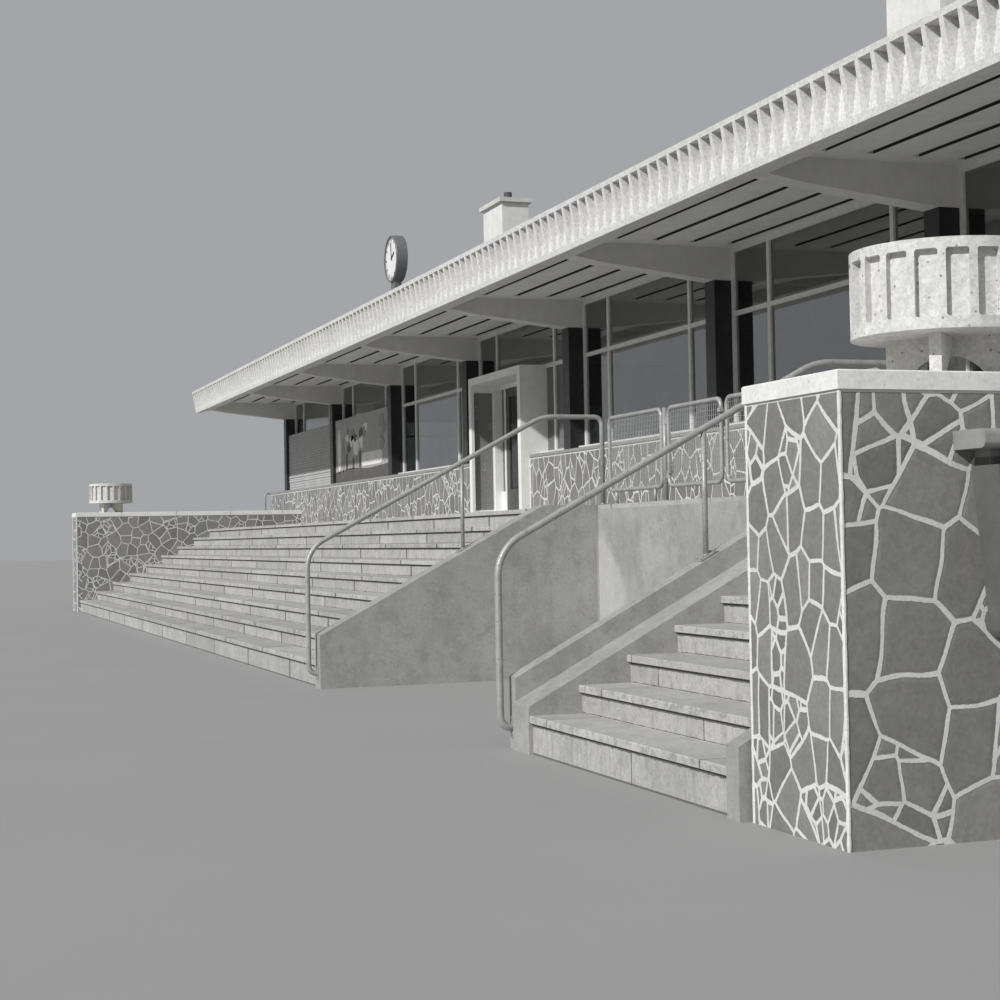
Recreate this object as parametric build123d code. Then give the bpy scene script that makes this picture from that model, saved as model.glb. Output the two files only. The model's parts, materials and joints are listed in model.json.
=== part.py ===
from build123d import *
import math
import os

# Railway station building, millimetres, +Z up, front towards -Y.
# X is measured from the right face of the left cheek wall, Y from its front,
# and every piece is moved to the middle of the bounding box on export.

# Stairs and terrace
STEP_COUNT = 9
FIRST_RISER = 245.0
RISER = 180.0
GOING = 340.0
NOSING_START_Y = 20.0
NOSING_OVERHANG = 22.0
TREAD_THICKNESS = 45.0
RISER_WALL = 90.0
TERRACE_TOP = FIRST_RISER + RISER * (STEP_COUNT - 1)
TERRACE_FRONT_Y = NOSING_START_Y + GOING * (STEP_COUNT - 1)
PITCH = RISER / GOING

# Cheek walls, curbs and the niche between the two flights
CHEEK_LEFT_X = (-200.0, 0.0)
CHEEK_LEFT_FRONT = (0.0, 505.0)
CHEEK_RIGHT_X = (5140.0, 5255.0)
CHEEK_RIGHT_FRONT = (35.0, 473.0)
CURB_LEFT_X = (5255.0, 5550.0)
CURB_LEFT_FRONT = (15.0, 302.0)
CURB_RIGHT_X = (8330.0, 8463.0)
CURB_RIGHT_FRONT = (2.0, 358.0)
NICHE_FACE_Y = 2826.0
RETAINING_BACK_Y = 3026.0
ARRIS = 9.0

# Flank walls with their planters
FLANK_LEFT_X = (-22300.0, -21480.0)
FLANK_RIGHT_X = (8500.0, 9367.0)
FLANK_LEFT_Y = -20.0
FLANK_RIGHT_Y = 58.0
FLANK_TOP = 1987.0
FLANK_COPING = 85.0
FLANK_COPING_LIP = 12.0
PLANTER_LEFT_Y = 740.0
PLANTER_RIGHT_Y = 900.0
TUB_RADIUS = 447.0
TUB_BOTTOM = 2272.0
TUB_TOP = 2680.0
TUB_WALL = 75.0
TUB_FLOOR = 70.0
TUB_PANELS = 20
TUB_PANEL_WIDTH = 104.0
TUB_PANEL_DEPTH = 38.0
TUB_PANEL_CHAMFER = 9.0
DRAIN_RADIUS = 20.0
TUB_RIM_TOP = 48.0
TUB_RIM_BOTTOM = 54.0
FOOT_REACH = 285.0
FOOT_THICKNESS = 56.0
FOOT_ARCH_HALF = 187.0
FOOT_ARCH_RISE = 115.0

# Building core
PLINTH_FACE_Y = 4769.0
PLINTH_THICKNESS = 350.0
PLINTH_TOP = 2500.0
PLINTH_COPING = 42.0
PLINTH_COPING_LIP = 12.0
BAY = 4350.0
BAY_COUNT = 8
FIRST_COLUMN_X = -23200.0
COLUMN_WIDTH = 235.0
COLUMN_DEPTH = 300.0
COLUMN_FACE_Y = 4813.0
WING_LENGTH = 1270.0
MIDDLE_Y = 8530.0
END_WALL_THICKNESS = 300.0
FLOOR_THICKNESS = 200.0

# Roof
BEAM_BOTTOM = 4170.0
BEAM_TIP_Y = 3167.0
BEAM_TIP_BOTTOM = 4377.0
BEAM_KNEE_Y = 3480.0
BEAM_KNEE_BOTTOM = 4318.0
SOFFIT_BOTTOM = 4530.0
SOFFIT_THICKNESS = 50.0
SLOT_PITCH = 447.0
SLOT_FIRST_Y = 3537.0
SLOT_COUNT = 4
SLOT_WIDTH = 70.0
SLOT_MARGIN = 250.0
FASCIA_BOTTOM = (2820.0, 4310.0)
FASCIA_TOP = (2733.0, 4782.0)
FASCIA_BACK_Y = 2960.0
FASCIA_BACK_BOTTOM = 4330.0
FASCIA_CAP = 46.0
FASCIA_FOOT = 58.0
RIB_PITCH = 212.5
RIB_TOP_WIDTH = 47.0
RIB_BOTTOM_WIDTH = 92.0
RIB_TOP_DEPTH = 128.0
EDGE_BEAM_STEP = 22.0

# Glazing
FRAME_FACE_Y = 5020.0
FRAME_DEPTH = 60.0
BAR = 60.0
TRANSOM_BOTTOM = 3770.0
TRANSOM_HEIGHT = 50.0
MULLION_OFFSET = 1205.0
SILL_HEIGHT = 34.0
SILL_PROJECTION = 34.0
PANE = 8.0
END_LIGHTS = 6

# Panels in the two end bays
BOARD_COUNT = 12
BOARD_BOTTOM = 2722.0
BOARD_FACE_Y = 4868.0
BOARD_THICKNESS = 26.0
BOARD_LAP = 12.0
PANEL_FACE_Y = 4872.0
PANEL_THICKNESS = 40.0

# Entrance porch and doors
ENTRANCE_BAY = 3
PORCH_OFFSET = 740.0
PORCH_WIDTH = 2290.0
PORCH_FACE_Y = 4635.0
PORCH_TOP = 3812.0
PORCH_JAMB = 120.0
PORCH_LINTEL = 108.0
PORCH_LIGHT_FRONT = 45.0
PORCH_LIGHT_BACK = 12.0
PORCH_LIGHT_BOTTOM = 1795.0
PORCH_LIGHT_TOP = 3612.0
SIDELIGHT = 160.0
DOOR_REVEAL = 150.0
DOOR_SILL = 18.0
DOOR_GAP = 6.0
DOOR_THICKNESS = 45.0
DOOR_STILE = 130.0
DOOR_KICK = 400.0
DOOR_HINGE_RADIUS = 8.0
DOOR_HINGE_HALF = 40.0
DOOR_HINGE_ZS = (1960.0, 3430.0)
DOOR_HANDLE_RADIUS = 11.0
DOOR_HANDLE_STANDOFF = 55.0
DOOR_HANDLE_LOW = 800.0
DOOR_HANDLE_LENGTH = 450.0
DOOR_HANDLE_BEND = 24.0

# Rails and gates
TUBE_SIDES = 8
TUBE_RADIUS = 24.0
RAIL_FRONT_OFFSET = 86.0
RAIL_FOOT_Z = 140.0
RAIL_HEIGHT = 2560.0
RAIL_KNEE_Z = 1300.0
RAIL_FLAT_RUN = 630.0
RAIL_POST_Y = 1450.0
RAIL_BEND = 75.0
RAIL_KNEE_BEND = 300.0
RAIL_CREST_BEND = 500.0
RAIL_POST_RADIUS = 19.0
RAIL_HOOK_PLATE = (60.0, 140.0)
LATCH_Z = 2415.0
LOCK_Z = 1985.0
GATE_Y = 2920.0
GATE_TUBE = 20.0
GATE_BOTTOM = 1820.0
GATE_TOP = 2532.0
GATE_CORNER = 70.0
GATE_LEFT_X = (1480.0, 2540.0)
GATE_RIGHT_X = (2650.0, 3710.0)
SCREEN_LEFT_X = (105.0, 1325.0)
SCREEN_RIGHT_X = (3865.0, 5080.0)
POST_XS = (1398.0, 3792.0)
POST_RADIUS = 22.0
BASE_PLATE = (150.0, 90.0, 8.0)
PIN_OFFSET = 42.0
PIN_RADIUS = 6.0
PIN_PROUD = 6.0
KNUCKLE_RADIUS = 12.0
KNUCKLE_HALF = 22.0
RUNNING_GAP = 0.3

# Roof fittings
CHIMNEY_XS = (-10775.0, 1535.0)
CHIMNEY_WIDTH = 920.0
CHIMNEY_Y = (5560.0, 6010.0)
CHIMNEY_TOP = 6760.0
CHIMNEY_CAP = 70.0
CHIMNEY_CAP_LIP = 55.0
POT_RADIUS = 65.0
POT_HEIGHT = 150.0
SMALL_POT_RADIUS = 43.0
SMALL_POT_HEIGHT = 95.0
CLOCK_X = -7560.0
CLOCK_Z = 5312.0
CLOCK_RADIUS = 328.0
CLOCK_FACE_Y = 2900.0
CLOCK_DEPTH = 165.0
CLOCK_RIM = 26.0
CLOCK_CHAMFER = 10.0
DIAL_THICKNESS = 6.0

# Letter box on the right flank wall
BOX_Y = (715.0, 1065.0)
BOX_FOOT_Y = (797.0, 983.0)
BOX_BOTTOM = 881.0
BOX_TOP = 1652.0
BOX_DEPTH = 200.0
BOX_CORNER = 60.0
HOOD_Y = (625.0, 1155.0)
HOOD_BOTTOM = 1722.0
HOOD_TOP = 1806.0
HOOD_DEPTH = 240.0

# Side handrails at the two ends
SIDE_RAIL_GAP = 80.0
SIDE_RAIL_RADIUS = 21.0
SIDE_RAIL_Y = (4640.0, 7300.0)
SIDE_RAIL_Z = 2530.0

LAST_COLUMN_X = FIRST_COLUMN_X + BAY * BAY_COUNT
PORCH_LEFT = FIRST_COLUMN_X + BAY * ENTRANCE_BAY + PORCH_OFFSET
PORCH_X = (PORCH_LEFT, PORCH_LEFT + PORCH_WIDTH)
ROOF_X = (FIRST_COLUMN_X - COLUMN_WIDTH / 2, LAST_COLUMN_X + COLUMN_WIDTH / 2)
PLINTH_X = (ROOF_X[0] - WING_LENGTH, ROOF_X[1] + WING_LENGTH)
COPING_TOP = PLINTH_TOP + PLINTH_COPING
FLANK_COPING_TOP = FLANK_TOP + FLANK_COPING
PLINTH_BACK_Y = PLINTH_FACE_Y + PLINTH_THICKNESS
REAR_INNER_Y = 2 * MIDDLE_Y - PLINTH_BACK_Y
REAR_OUTER_Y = 2 * MIDDLE_Y - PLINTH_FACE_Y
ROOF_TOP = FASCIA_TOP[1]
CENTRE_X = (FIRST_COLUMN_X + LAST_COLUMN_X) / 2
RAIL_LEFT_Y = CHEEK_LEFT_FRONT[0] - RAIL_FRONT_OFFSET
FRONT_LIMIT_Y = RAIL_LEFT_Y - TUBE_RADIUS
REAR_LIMIT_Y = 2 * MIDDLE_Y - FASCIA_TOP[0]
CENTRE_Y = (FRONT_LIMIT_Y + REAR_LIMIT_Y) / 2


def block(x, y, z):
    """Box between two limits on each axis."""
    size = (x[1] - x[0], y[1] - y[0], z[1] - z[0])
    middle = ((x[0] + x[1]) / 2, (y[0] + y[1]) / 2, (z[0] + z[1]) / 2)
    return Pos(*middle) * Box(*size)


def prism_along_x(points, x):
    """Profile of (Y, Z) points run along X between two limits."""
    edges = Polyline(*[(x[0], y, z) for y, z in points], close=True)
    face = make_face(edges)
    return extrude(face, amount=x[1] - x[0], dir=(1, 0, 0))


def fused(shapes):
    """One solid out of pieces that meet."""
    solid = shapes[0]
    return solid.fuse(*shapes[1:]).clean()


def group(shapes):
    """Pieces that do not touch, kept as one node."""
    return Compound(children=list(shapes))


def to_rear(shape):
    """Mirror a front piece to the rear side."""
    return mirror(shape, about=Plane((0, MIDDLE_Y, 0), z_dir=(0, 1, 0)))


def to_right_end(shape):
    """Mirror a left end piece to the right end."""
    return mirror(shape, about=Plane((CENTRE_X, 0, 0), z_dir=(1, 0, 0)))


def tube(points, radius, bend, normal=(1, 0, 0)):
    """Round tube along a flat polyline with rounded corners."""
    return tube_along(FilletPolyline(*points, radius=bend).edges(), radius, normal)


def tube_along(edges, radius, normal):
    """Straight runs are extruded and bends are turned about their centres."""
    runs = []
    for edge in edges:
        plane = Plane(origin=edge @ 0, x_dir=normal, z_dir=edge % 0)
        section = plane * RegularPolygon(radius, TUBE_SIDES)
        if edge.geom_type == GeomType.LINE:
            runs.append(extrude(section, amount=edge.length))
        else:
            turn = (edge % 0).cross(edge % 1)
            sweep_angle = math.degrees(edge.length / edge.radius)
            runs.append(revolve(section, axis=Axis(edge.arc_center, turn), revolution_arc=sweep_angle))
    return fused(runs)


def rod(start, end, radius):
    """Straight round bar between two points."""
    a = Vector(*start)
    b = Vector(*end)
    plane = Plane(origin=a, z_dir=(b - a).normalized())
    return extrude(plane * RegularPolygon(radius, TUBE_SIDES), amount=(b - a).length)


def step_top(index):
    return FIRST_RISER + RISER * index


def step_front(index):
    return NOSING_START_Y + GOING * index


def flight_risers(x):
    """Riser walls of a flight; the last one carries the terrace edge."""
    walls = []
    for index in range(STEP_COUNT):
        face = step_front(index) + NOSING_OVERHANG
        back = face + RISER_WALL
        if index == STEP_COUNT - 1:
            back = RETAINING_BACK_Y
        walls.append(block(x, (face, back), (0, step_top(index) - TREAD_THICKNESS)))
    return walls


def flight_treads(x):
    """Tread slabs whose nosings overhang the risers."""
    treads = []
    for index in range(STEP_COUNT - 1):
        y = (step_front(index), step_front(index + 1) + NOSING_OVERHANG)
        z = (step_top(index) - TREAD_THICKNESS, step_top(index))
        tread = block(x, y, z)
        edge = tread.edges().filter_by(Axis.X).sort_by(Axis.Y)[0:2].sort_by(Axis.Z)[-1]
        treads.append(chamfer(edge, 6))
    return treads


def sloping_wall(x, front):
    """Wall whose top follows the stairs up to the terrace."""
    front_y, front_z = front
    kink_y = front_y + (TERRACE_TOP - front_z) / PITCH
    points = [(front_y, 0), (front_y, front_z), (kink_y, TERRACE_TOP)]
    points += [(RETAINING_BACK_Y, TERRACE_TOP), (RETAINING_BACK_Y, 0)]
    return prism_along_x(points, x)


def cheek(x, front):
    """Concrete cheek wall with worn top arrises."""
    wall = sloping_wall(x, front)
    tops = [e for e in wall.edges() if is_cheek_arris(e, front)]
    return chamfer(tops, ARRIS)


def is_cheek_arris(edge, front):
    middle = edge @ 0.5
    slanted = abs((edge % 0.5).X) < 0.01 and abs((edge % 0.5).Z) > 0.2
    return slanted and middle.Z > front[1] + 20 and middle.Y > front[0] + 20


def terrace_slab():
    """Terrace paving slab with notches around the cheek walls."""
    front = TERRACE_FRONT_Y
    back = PLINTH_FACE_Y
    notch = RETAINING_BACK_Y
    points = [(FLANK_LEFT_X[1], front), (CHEEK_LEFT_X[0], front)]
    points += [(CHEEK_LEFT_X[0], notch), (CHEEK_LEFT_X[1], notch)]
    points += [(CHEEK_LEFT_X[1], NICHE_FACE_Y), (CHEEK_RIGHT_X[0], NICHE_FACE_Y)]
    points += [(CHEEK_RIGHT_X[0], notch), (CURB_LEFT_X[1], notch)]
    points += [(CURB_LEFT_X[1], front), (CURB_RIGHT_X[0], front)]
    points += [(CURB_RIGHT_X[0], notch), (CURB_RIGHT_X[1], notch)]
    points += [(CURB_RIGHT_X[1], back), (FLANK_LEFT_X[1], back)]
    outline = Polyline(*[(x, y, TERRACE_TOP - TREAD_THICKNESS) for x, y in points], close=True)
    return extrude(make_face(outline), amount=TREAD_THICKNESS, dir=(0, 0, 1))


def flank_coping(x, front_y):
    lip = FLANK_COPING_LIP
    y = (front_y - lip, PLINTH_FACE_Y)
    slab = block((x[0] - lip, x[1] + lip), y, (FLANK_TOP, FLANK_COPING_TOP))
    edges = slab.edges().group_by(Axis.Z)[-1]
    return chamfer(edges, 6)


def planter_tub(x, y):
    """Turned tub with a drain hole and upright recessed panels around it."""
    outline = [(DRAIN_RADIUS, 0), (TUB_RADIUS, 0), (TUB_RADIUS, TUB_TOP - TUB_BOTTOM)]
    outline += [(TUB_RADIUS - TUB_WALL, TUB_TOP - TUB_BOTTOM)]
    outline += [(TUB_RADIUS - TUB_WALL, TUB_FLOOR), (DRAIN_RADIUS, TUB_FLOOR)]
    profile = make_face(Polyline(*[(r, 0, z) for r, z in outline], close=True))
    shell = revolve(profile, axis=Axis.Z)
    height = TUB_TOP - TUB_BOTTOM - TUB_RIM_TOP - TUB_RIM_BOTTOM
    panel = Box(TUB_PANEL_DEPTH * 2, TUB_PANEL_WIDTH, height)
    panel = chamfer(panel.edges().filter_by(Axis.X), TUB_PANEL_CHAMFER)
    middle = TUB_RIM_BOTTOM + height / 2
    cutters = []
    for index in range(TUB_PANELS):
        turn = Rot(0, 0, 360 / TUB_PANELS * (index + 0.5))
        cutters.append(turn * Pos(TUB_RADIUS, 0, middle) * panel)
    shell = shell.cut(*cutters)
    return Pos(x, y, TUB_BOTTOM) * shell


def planter_foot(x, y):
    """Two crossed upright slabs, each with a segmental arch cut from below."""
    height = TUB_BOTTOM - FLANK_COPING_TOP
    curve = (FOOT_ARCH_HALF ** 2 + FOOT_ARCH_RISE ** 2) / (2 * FOOT_ARCH_RISE)
    arch = Pos(0, 0, FOOT_ARCH_RISE - curve) * Rot(90, 0, 0) * Cylinder(curve, 2 * FOOT_THICKNESS)
    slab = Pos(0, 0, height / 2) * Box(2 * FOOT_REACH, FOOT_THICKNESS, height) - arch
    foot = fused([Rot(0, 0, 45) * slab, Rot(0, 0, -45) * slab])
    return Pos(x, y, FLANK_COPING_TOP) * foot


def roof_beam(x):
    """Transverse beam with a haunched, tapering cantilever at each side."""
    half = [(BEAM_TIP_Y, SOFFIT_BOTTOM + SOFFIT_THICKNESS), (BEAM_TIP_Y, BEAM_TIP_BOTTOM)]
    half += [(BEAM_KNEE_Y, BEAM_KNEE_BOTTOM), (COLUMN_FACE_Y, BEAM_BOTTOM)]
    rear = [(2 * MIDDLE_Y - y, z) for y, z in reversed(half)]
    sides = (x - COLUMN_WIDTH / 2, x + COLUMN_WIDTH / 2)
    return prism_along_x(half + rear, sides)


def column_x(index):
    return FIRST_COLUMN_X + BAY * index


def bay_limits(index):
    left = column_x(index) + COLUMN_WIDTH / 2
    return (left, left + BAY - COLUMN_WIDTH)


def columns():
    """Front and rear columns between the plinth coping and the beams."""
    posts = []
    for index in range(BAY_COUNT + 1):
        x = (column_x(index) - COLUMN_WIDTH / 2, column_x(index) + COLUMN_WIDTH / 2)
        y = (COLUMN_FACE_Y, COLUMN_FACE_Y + COLUMN_DEPTH)
        post = block(x, y, (COPING_TOP, BEAM_BOTTOM))
        posts += [post, to_rear(post)]
    return group(posts)


def edge_beam():
    """Edge beam behind the fascia, its underside rising to the beams."""
    top = SOFFIT_BOTTOM + SOFFIT_THICKNESS
    points = [(FASCIA_BACK_Y, top), (FASCIA_BACK_Y, FASCIA_BACK_BOTTOM + EDGE_BEAM_STEP)]
    points += [(BEAM_TIP_Y, BEAM_TIP_BOTTOM), (BEAM_TIP_Y, top)]
    return prism_along_x(points, ROOF_X)


def fascia_front_at(z):
    """Y of the leaning front face at a height."""
    share = (z - FASCIA_BOTTOM[1]) / (FASCIA_TOP[1] - FASCIA_BOTTOM[1])
    return FASCIA_BOTTOM[0] + (FASCIA_TOP[0] - FASCIA_BOTTOM[0]) * share


def rib_pocket(rib_pitch):
    """Pocket between two ribs: wedge-shaped in depth, narrowing downwards."""
    top_z = FASCIA_TOP[1] - FASCIA_CAP
    bottom_z = FASCIA_BOTTOM[1] + FASCIA_FOOT
    top_half = (rib_pitch - RIB_TOP_WIDTH) / 2
    bottom_half = (rib_pitch - RIB_BOTTOM_WIDTH) / 2
    front = 40
    y_top = fascia_front_at(top_z)
    y_bottom = fascia_front_at(bottom_z)
    wedge = [(y_bottom, bottom_z), (y_top + RIB_TOP_DEPTH, top_z)]
    wedge += [(y_top - front, top_z), (y_bottom - front, bottom_z)]
    depth = prism_along_x(wedge, (-top_half, top_half))
    outline = [(-bottom_half, bottom_z), (bottom_half, bottom_z)]
    outline += [(top_half, top_z), (-top_half, top_z)]
    start = y_top - 2 * front
    face = make_face(Polyline(*[(x, start, z) for x, z in outline], close=True))
    return depth & extrude(face, amount=RIB_TOP_DEPTH + 6 * front, dir=(0, 1, 0))


def fascia():
    """Leaning precast fascia with tapering ribs under a flat cap."""
    points = [FASCIA_BOTTOM, FASCIA_TOP, (FASCIA_BACK_Y, FASCIA_TOP[1])]
    points += [(FASCIA_BACK_Y, FASCIA_BACK_BOTTOM)]
    band = prism_along_x(points, ROOF_X)
    length = ROOF_X[1] - ROOF_X[0]
    count = round(length / RIB_PITCH)
    pitch = length / count
    pocket = rib_pocket(pitch)
    pockets = [Pos(ROOF_X[0] + pitch * (i + 0.5), 0, 0) * pocket for i in range(count)]
    return band.cut(*pockets)


def soffit_panel(x):
    """Soffit of one bay with its long ventilation slots."""
    y = (BEAM_TIP_Y, FRAME_FACE_Y)
    top = SOFFIT_BOTTOM + SOFFIT_THICKNESS
    panel = block(x, y, (SOFFIT_BOTTOM, top))
    slots = []
    for index in range(SLOT_COUNT):
        middle = SLOT_FIRST_Y + SLOT_PITCH * index
        span = (middle - SLOT_WIDTH / 2, middle + SLOT_WIDTH / 2)
        long = (x[0] + SLOT_MARGIN, x[1] - SLOT_MARGIN)
        slots.append(block(long, span, (SOFFIT_BOTTOM - 5, top + 5)))
    return panel.cut(*slots)


def frame_bars(x, lower_left, lower_right):
    """Window bars of one bay as (x, z) limits; the lower part may be cut short."""
    head = SOFFIT_BOTTOM
    middle = (x[0] + x[1]) / 2
    left = middle - MULLION_OFFSET
    right = middle + MULLION_OFFSET
    base = COPING_TOP
    bars = [((x[0], x[0] + BAR), (base, head)), ((x[1] - BAR, x[1]), (base, head))]
    bars.append(((x[0], x[1]), (head - BAR, head)))
    bars.append(((x[0], x[1]), (TRANSOM_BOTTOM, TRANSOM_BOTTOM + TRANSOM_HEIGHT)))
    for mullion, lowered in ((left, lower_left), (right, lower_right)):
        foot = base if lowered else TRANSOM_BOTTOM
        bars.append(((mullion - BAR / 2, mullion + BAR / 2), (foot, head)))
    return bars


def window_frame(x, sill_spans, lower_left=True, lower_right=True):
    """Frame of one bay with its sills."""
    y = (FRAME_FACE_Y, FRAME_FACE_Y + FRAME_DEPTH)
    pieces = [block(bx, y, bz) for bx, bz in frame_bars(x, lower_left, lower_right)]
    sill_y = (FRAME_FACE_Y - SILL_PROJECTION, FRAME_FACE_Y + FRAME_DEPTH)
    for span in sill_spans:
        pieces.append(block(span, sill_y, (COPING_TOP, COPING_TOP + SILL_HEIGHT)))
    return fused(pieces)


def pane(x, z):
    middle = FRAME_FACE_Y + FRAME_DEPTH / 2
    return block(x, (middle - PANE / 2, middle + PANE / 2), z)


def pane_columns(x):
    """Clear spans between the bars of one bay."""
    middle = (x[0] + x[1]) / 2
    left = middle - MULLION_OFFSET
    right = middle + MULLION_OFFSET
    half = BAR / 2
    return [(x[0] + BAR, left - half), (left + half, right - half), (right + half, x[1] - BAR)]


def window_panes(x, lower=True):
    """Upper and, where wanted, lower panes of one bay."""
    spans = pane_columns(x)
    upper_z = (TRANSOM_BOTTOM + TRANSOM_HEIGHT, SOFFIT_BOTTOM - BAR)
    lower_z = (COPING_TOP + SILL_HEIGHT, TRANSOM_BOTTOM)
    panes = [pane(span, upper_z) for span in spans]
    if lower:
        panes += [pane(span, lower_z) for span in spans]
    return panes


BOARDED_BAYS = (0, BAY_COUNT - 1)
PICTURE_BAY = 1


def entrance_frame(x):
    """Frame of the entrance bay, open below the transom where the porch stands."""
    spans = [(x[0], PORCH_X[0]), (PORCH_X[1], x[1])]
    return window_frame(x, spans, lower_left=False)


def entrance_panes(x):
    """Panes beside and over the porch."""
    upper = window_panes(x, lower=False)
    spans = pane_columns(x)
    z = (COPING_TOP + SILL_HEIGHT, TRANSOM_BOTTOM)
    lower = [pane((x[0] + BAR, PORCH_X[0]), z)]
    lower.append(pane((PORCH_X[1], spans[1][1]), z))
    lower.append(pane(spans[2], z))
    return upper + lower


def front_window_frames():
    bays = [bay_limits(i) for i in range(BAY_COUNT) if i != ENTRANCE_BAY]
    return group([window_frame(x, [x]) for x in bays])


def front_window_panes():
    panes = []
    for index in range(BAY_COUNT):
        x = bay_limits(index)
        if index == ENTRANCE_BAY:
            panes += entrance_panes(x)
        else:
            panes += window_panes(x)
    return group(panes)


def end_spans():
    """Clear spans along Y of the end wall glazing."""
    start = COLUMN_FACE_Y + COLUMN_DEPTH
    end = 2 * MIDDLE_Y - start
    pitch = (end - start - BAR) / END_LIGHTS
    return start, end, pitch


def end_window_frame():
    """Glazing frame of the left end under its beam."""
    start, end, pitch = end_spans()
    x = (FIRST_COLUMN_X - FRAME_DEPTH / 2, FIRST_COLUMN_X + FRAME_DEPTH / 2)
    pieces = [block(x, (start, end), (COPING_TOP, COPING_TOP + BAR))]
    pieces.append(block(x, (start, end), (BEAM_BOTTOM - BAR, BEAM_BOTTOM)))
    pieces.append(block(x, (start, end), (TRANSOM_BOTTOM, TRANSOM_BOTTOM + TRANSOM_HEIGHT)))
    for index in range(END_LIGHTS + 1):
        y = start + pitch * index
        pieces.append(block(x, (y, y + BAR), (COPING_TOP, BEAM_BOTTOM)))
    return fused(pieces)


def end_window_panes():
    start, end, pitch = end_spans()
    x = (FIRST_COLUMN_X - PANE / 2, FIRST_COLUMN_X + PANE / 2)
    panes = []
    for index in range(END_LIGHTS):
        y = (start + pitch * index + BAR, start + pitch * (index + 1))
        panes.append(block(x, y, (COPING_TOP + BAR, TRANSOM_BOTTOM)))
        panes.append(block(x, y, (TRANSOM_BOTTOM + TRANSOM_HEIGHT, BEAM_BOTTOM - BAR)))
    return panes


def rear_window_frames():
    frames = [to_rear(window_frame(bay_limits(i), [bay_limits(i)])) for i in range(BAY_COUNT)]
    left_end = end_window_frame()
    return group(frames + [left_end, to_right_end(left_end)])


def rear_window_panes():
    panes = []
    for index in range(BAY_COUNT):
        panes += [to_rear(p) for p in window_panes(bay_limits(index))]
    ends = end_window_panes()
    return group(panes + ends + [to_right_end(p) for p in ends])


def lapped_boards(x):
    """Weatherboards, each one lapping over the board below."""
    top = TRANSOM_BOTTOM + TRANSOM_HEIGHT / 2
    height = (top - BOARD_BOTTOM) / BOARD_COUNT
    back = BOARD_FACE_Y + BOARD_THICKNESS + BOARD_LAP
    points = [(back, BOARD_BOTTOM)]
    for index in range(BOARD_COUNT):
        z = BOARD_BOTTOM + height * index
        points.append((BOARD_FACE_Y, z))
        points.append((BOARD_FACE_Y + BOARD_LAP, z + height))
    points.append((back, top))
    return prism_along_x(points, x)


def boarded_panels():
    """Boarding with a light base board in the two end bays."""
    pieces = []
    for index in BOARDED_BAYS:
        x = bay_limits(index)
        y = (BOARD_FACE_Y + BOARD_LAP, BOARD_FACE_Y + BOARD_THICKNESS + BOARD_LAP)
        base = block(x, y, (COPING_TOP, BOARD_BOTTOM))
        pieces.append(fused([lapped_boards(x), base]))
    return group(pieces)


def picture_panel():
    x = bay_limits(PICTURE_BAY)
    top = TRANSOM_BOTTOM + TRANSOM_HEIGHT
    board = block(x, (PANEL_FACE_Y, PANEL_FACE_Y + PANEL_THICKNESS), (COPING_TOP, top))
    return chamfer(board.edges().group_by(Axis.Y)[0], 5)


def porch():
    """Projecting entrance surround with a window in its left side."""
    x = PORCH_X
    y = (PORCH_FACE_Y, FRAME_FACE_Y)
    z = (TERRACE_TOP, PORCH_TOP)
    body = block(x, y, z)
    inner = (x[0] + PORCH_JAMB, x[1] - PORCH_JAMB)
    hollow = block(inner, (y[0] - 5, y[1] + 5), (TERRACE_TOP - 5, PORCH_TOP - PORCH_LINTEL))
    light_y = (y[0] + PORCH_LIGHT_FRONT, y[1] - PORCH_LIGHT_BACK)
    light = block((x[0] - 5, inner[0] + 5), light_y, (PORCH_LIGHT_BOTTOM, PORCH_LIGHT_TOP))
    return body - hollow - light


def door_line():
    """X positions of the door frame posts and leaves, from left to right."""
    left = PORCH_X[0] + PORCH_JAMB
    right = PORCH_X[1] - PORCH_JAMB
    opening = (left + SIDELIGHT + BAR, right - SIDELIGHT - BAR)
    return left, right, opening


def door_frame():
    """Deep fixed frame with a sidelight each side of the double door."""
    left, right, opening = door_line()
    y = (FRAME_FACE_Y, FRAME_FACE_Y + DOOR_REVEAL)
    light_y = (door_middle_y() - FRAME_DEPTH / 2, door_middle_y() + FRAME_DEPTH / 2)
    top = PORCH_TOP - PORCH_LINTEL
    cheeks = [(PORCH_X[0], left), (right, PORCH_X[1])]
    pieces = [block(span, y, (TERRACE_TOP, TRANSOM_BOTTOM)) for span in cheeks]
    pieces.append(block(PORCH_X, y, (top, TRANSOM_BOTTOM)))
    pieces.append(block((left, right), light_y, (top - BAR, top)))
    pieces.append(block((left, right), y, (TERRACE_TOP, TERRACE_TOP + DOOR_SILL)))
    posts = [(opening[0] - BAR, opening[0]), (opening[1], opening[1] + BAR)]
    pieces += [block(span, light_y, (TERRACE_TOP, top)) for span in posts]
    for span in (left, posts[0][0]), (posts[1][1], right):
        pieces.append(block(span, light_y, (TERRACE_TOP, TERRACE_TOP + DOOR_KICK)))
    return fused(pieces + hinge_half(0, False) + hinge_half(1, False))


def door_hinge_axis(side):
    """X and Y of the hinge line of a leaf, just behind the frame."""
    opening = door_line()[2]
    inset = DOOR_GAP / 2
    x = opening[0] + inset if side == 0 else opening[1] - inset
    return x, FRAME_FACE_Y + DOOR_REVEAL + DOOR_HINGE_RADIUS + DOOR_GAP


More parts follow.
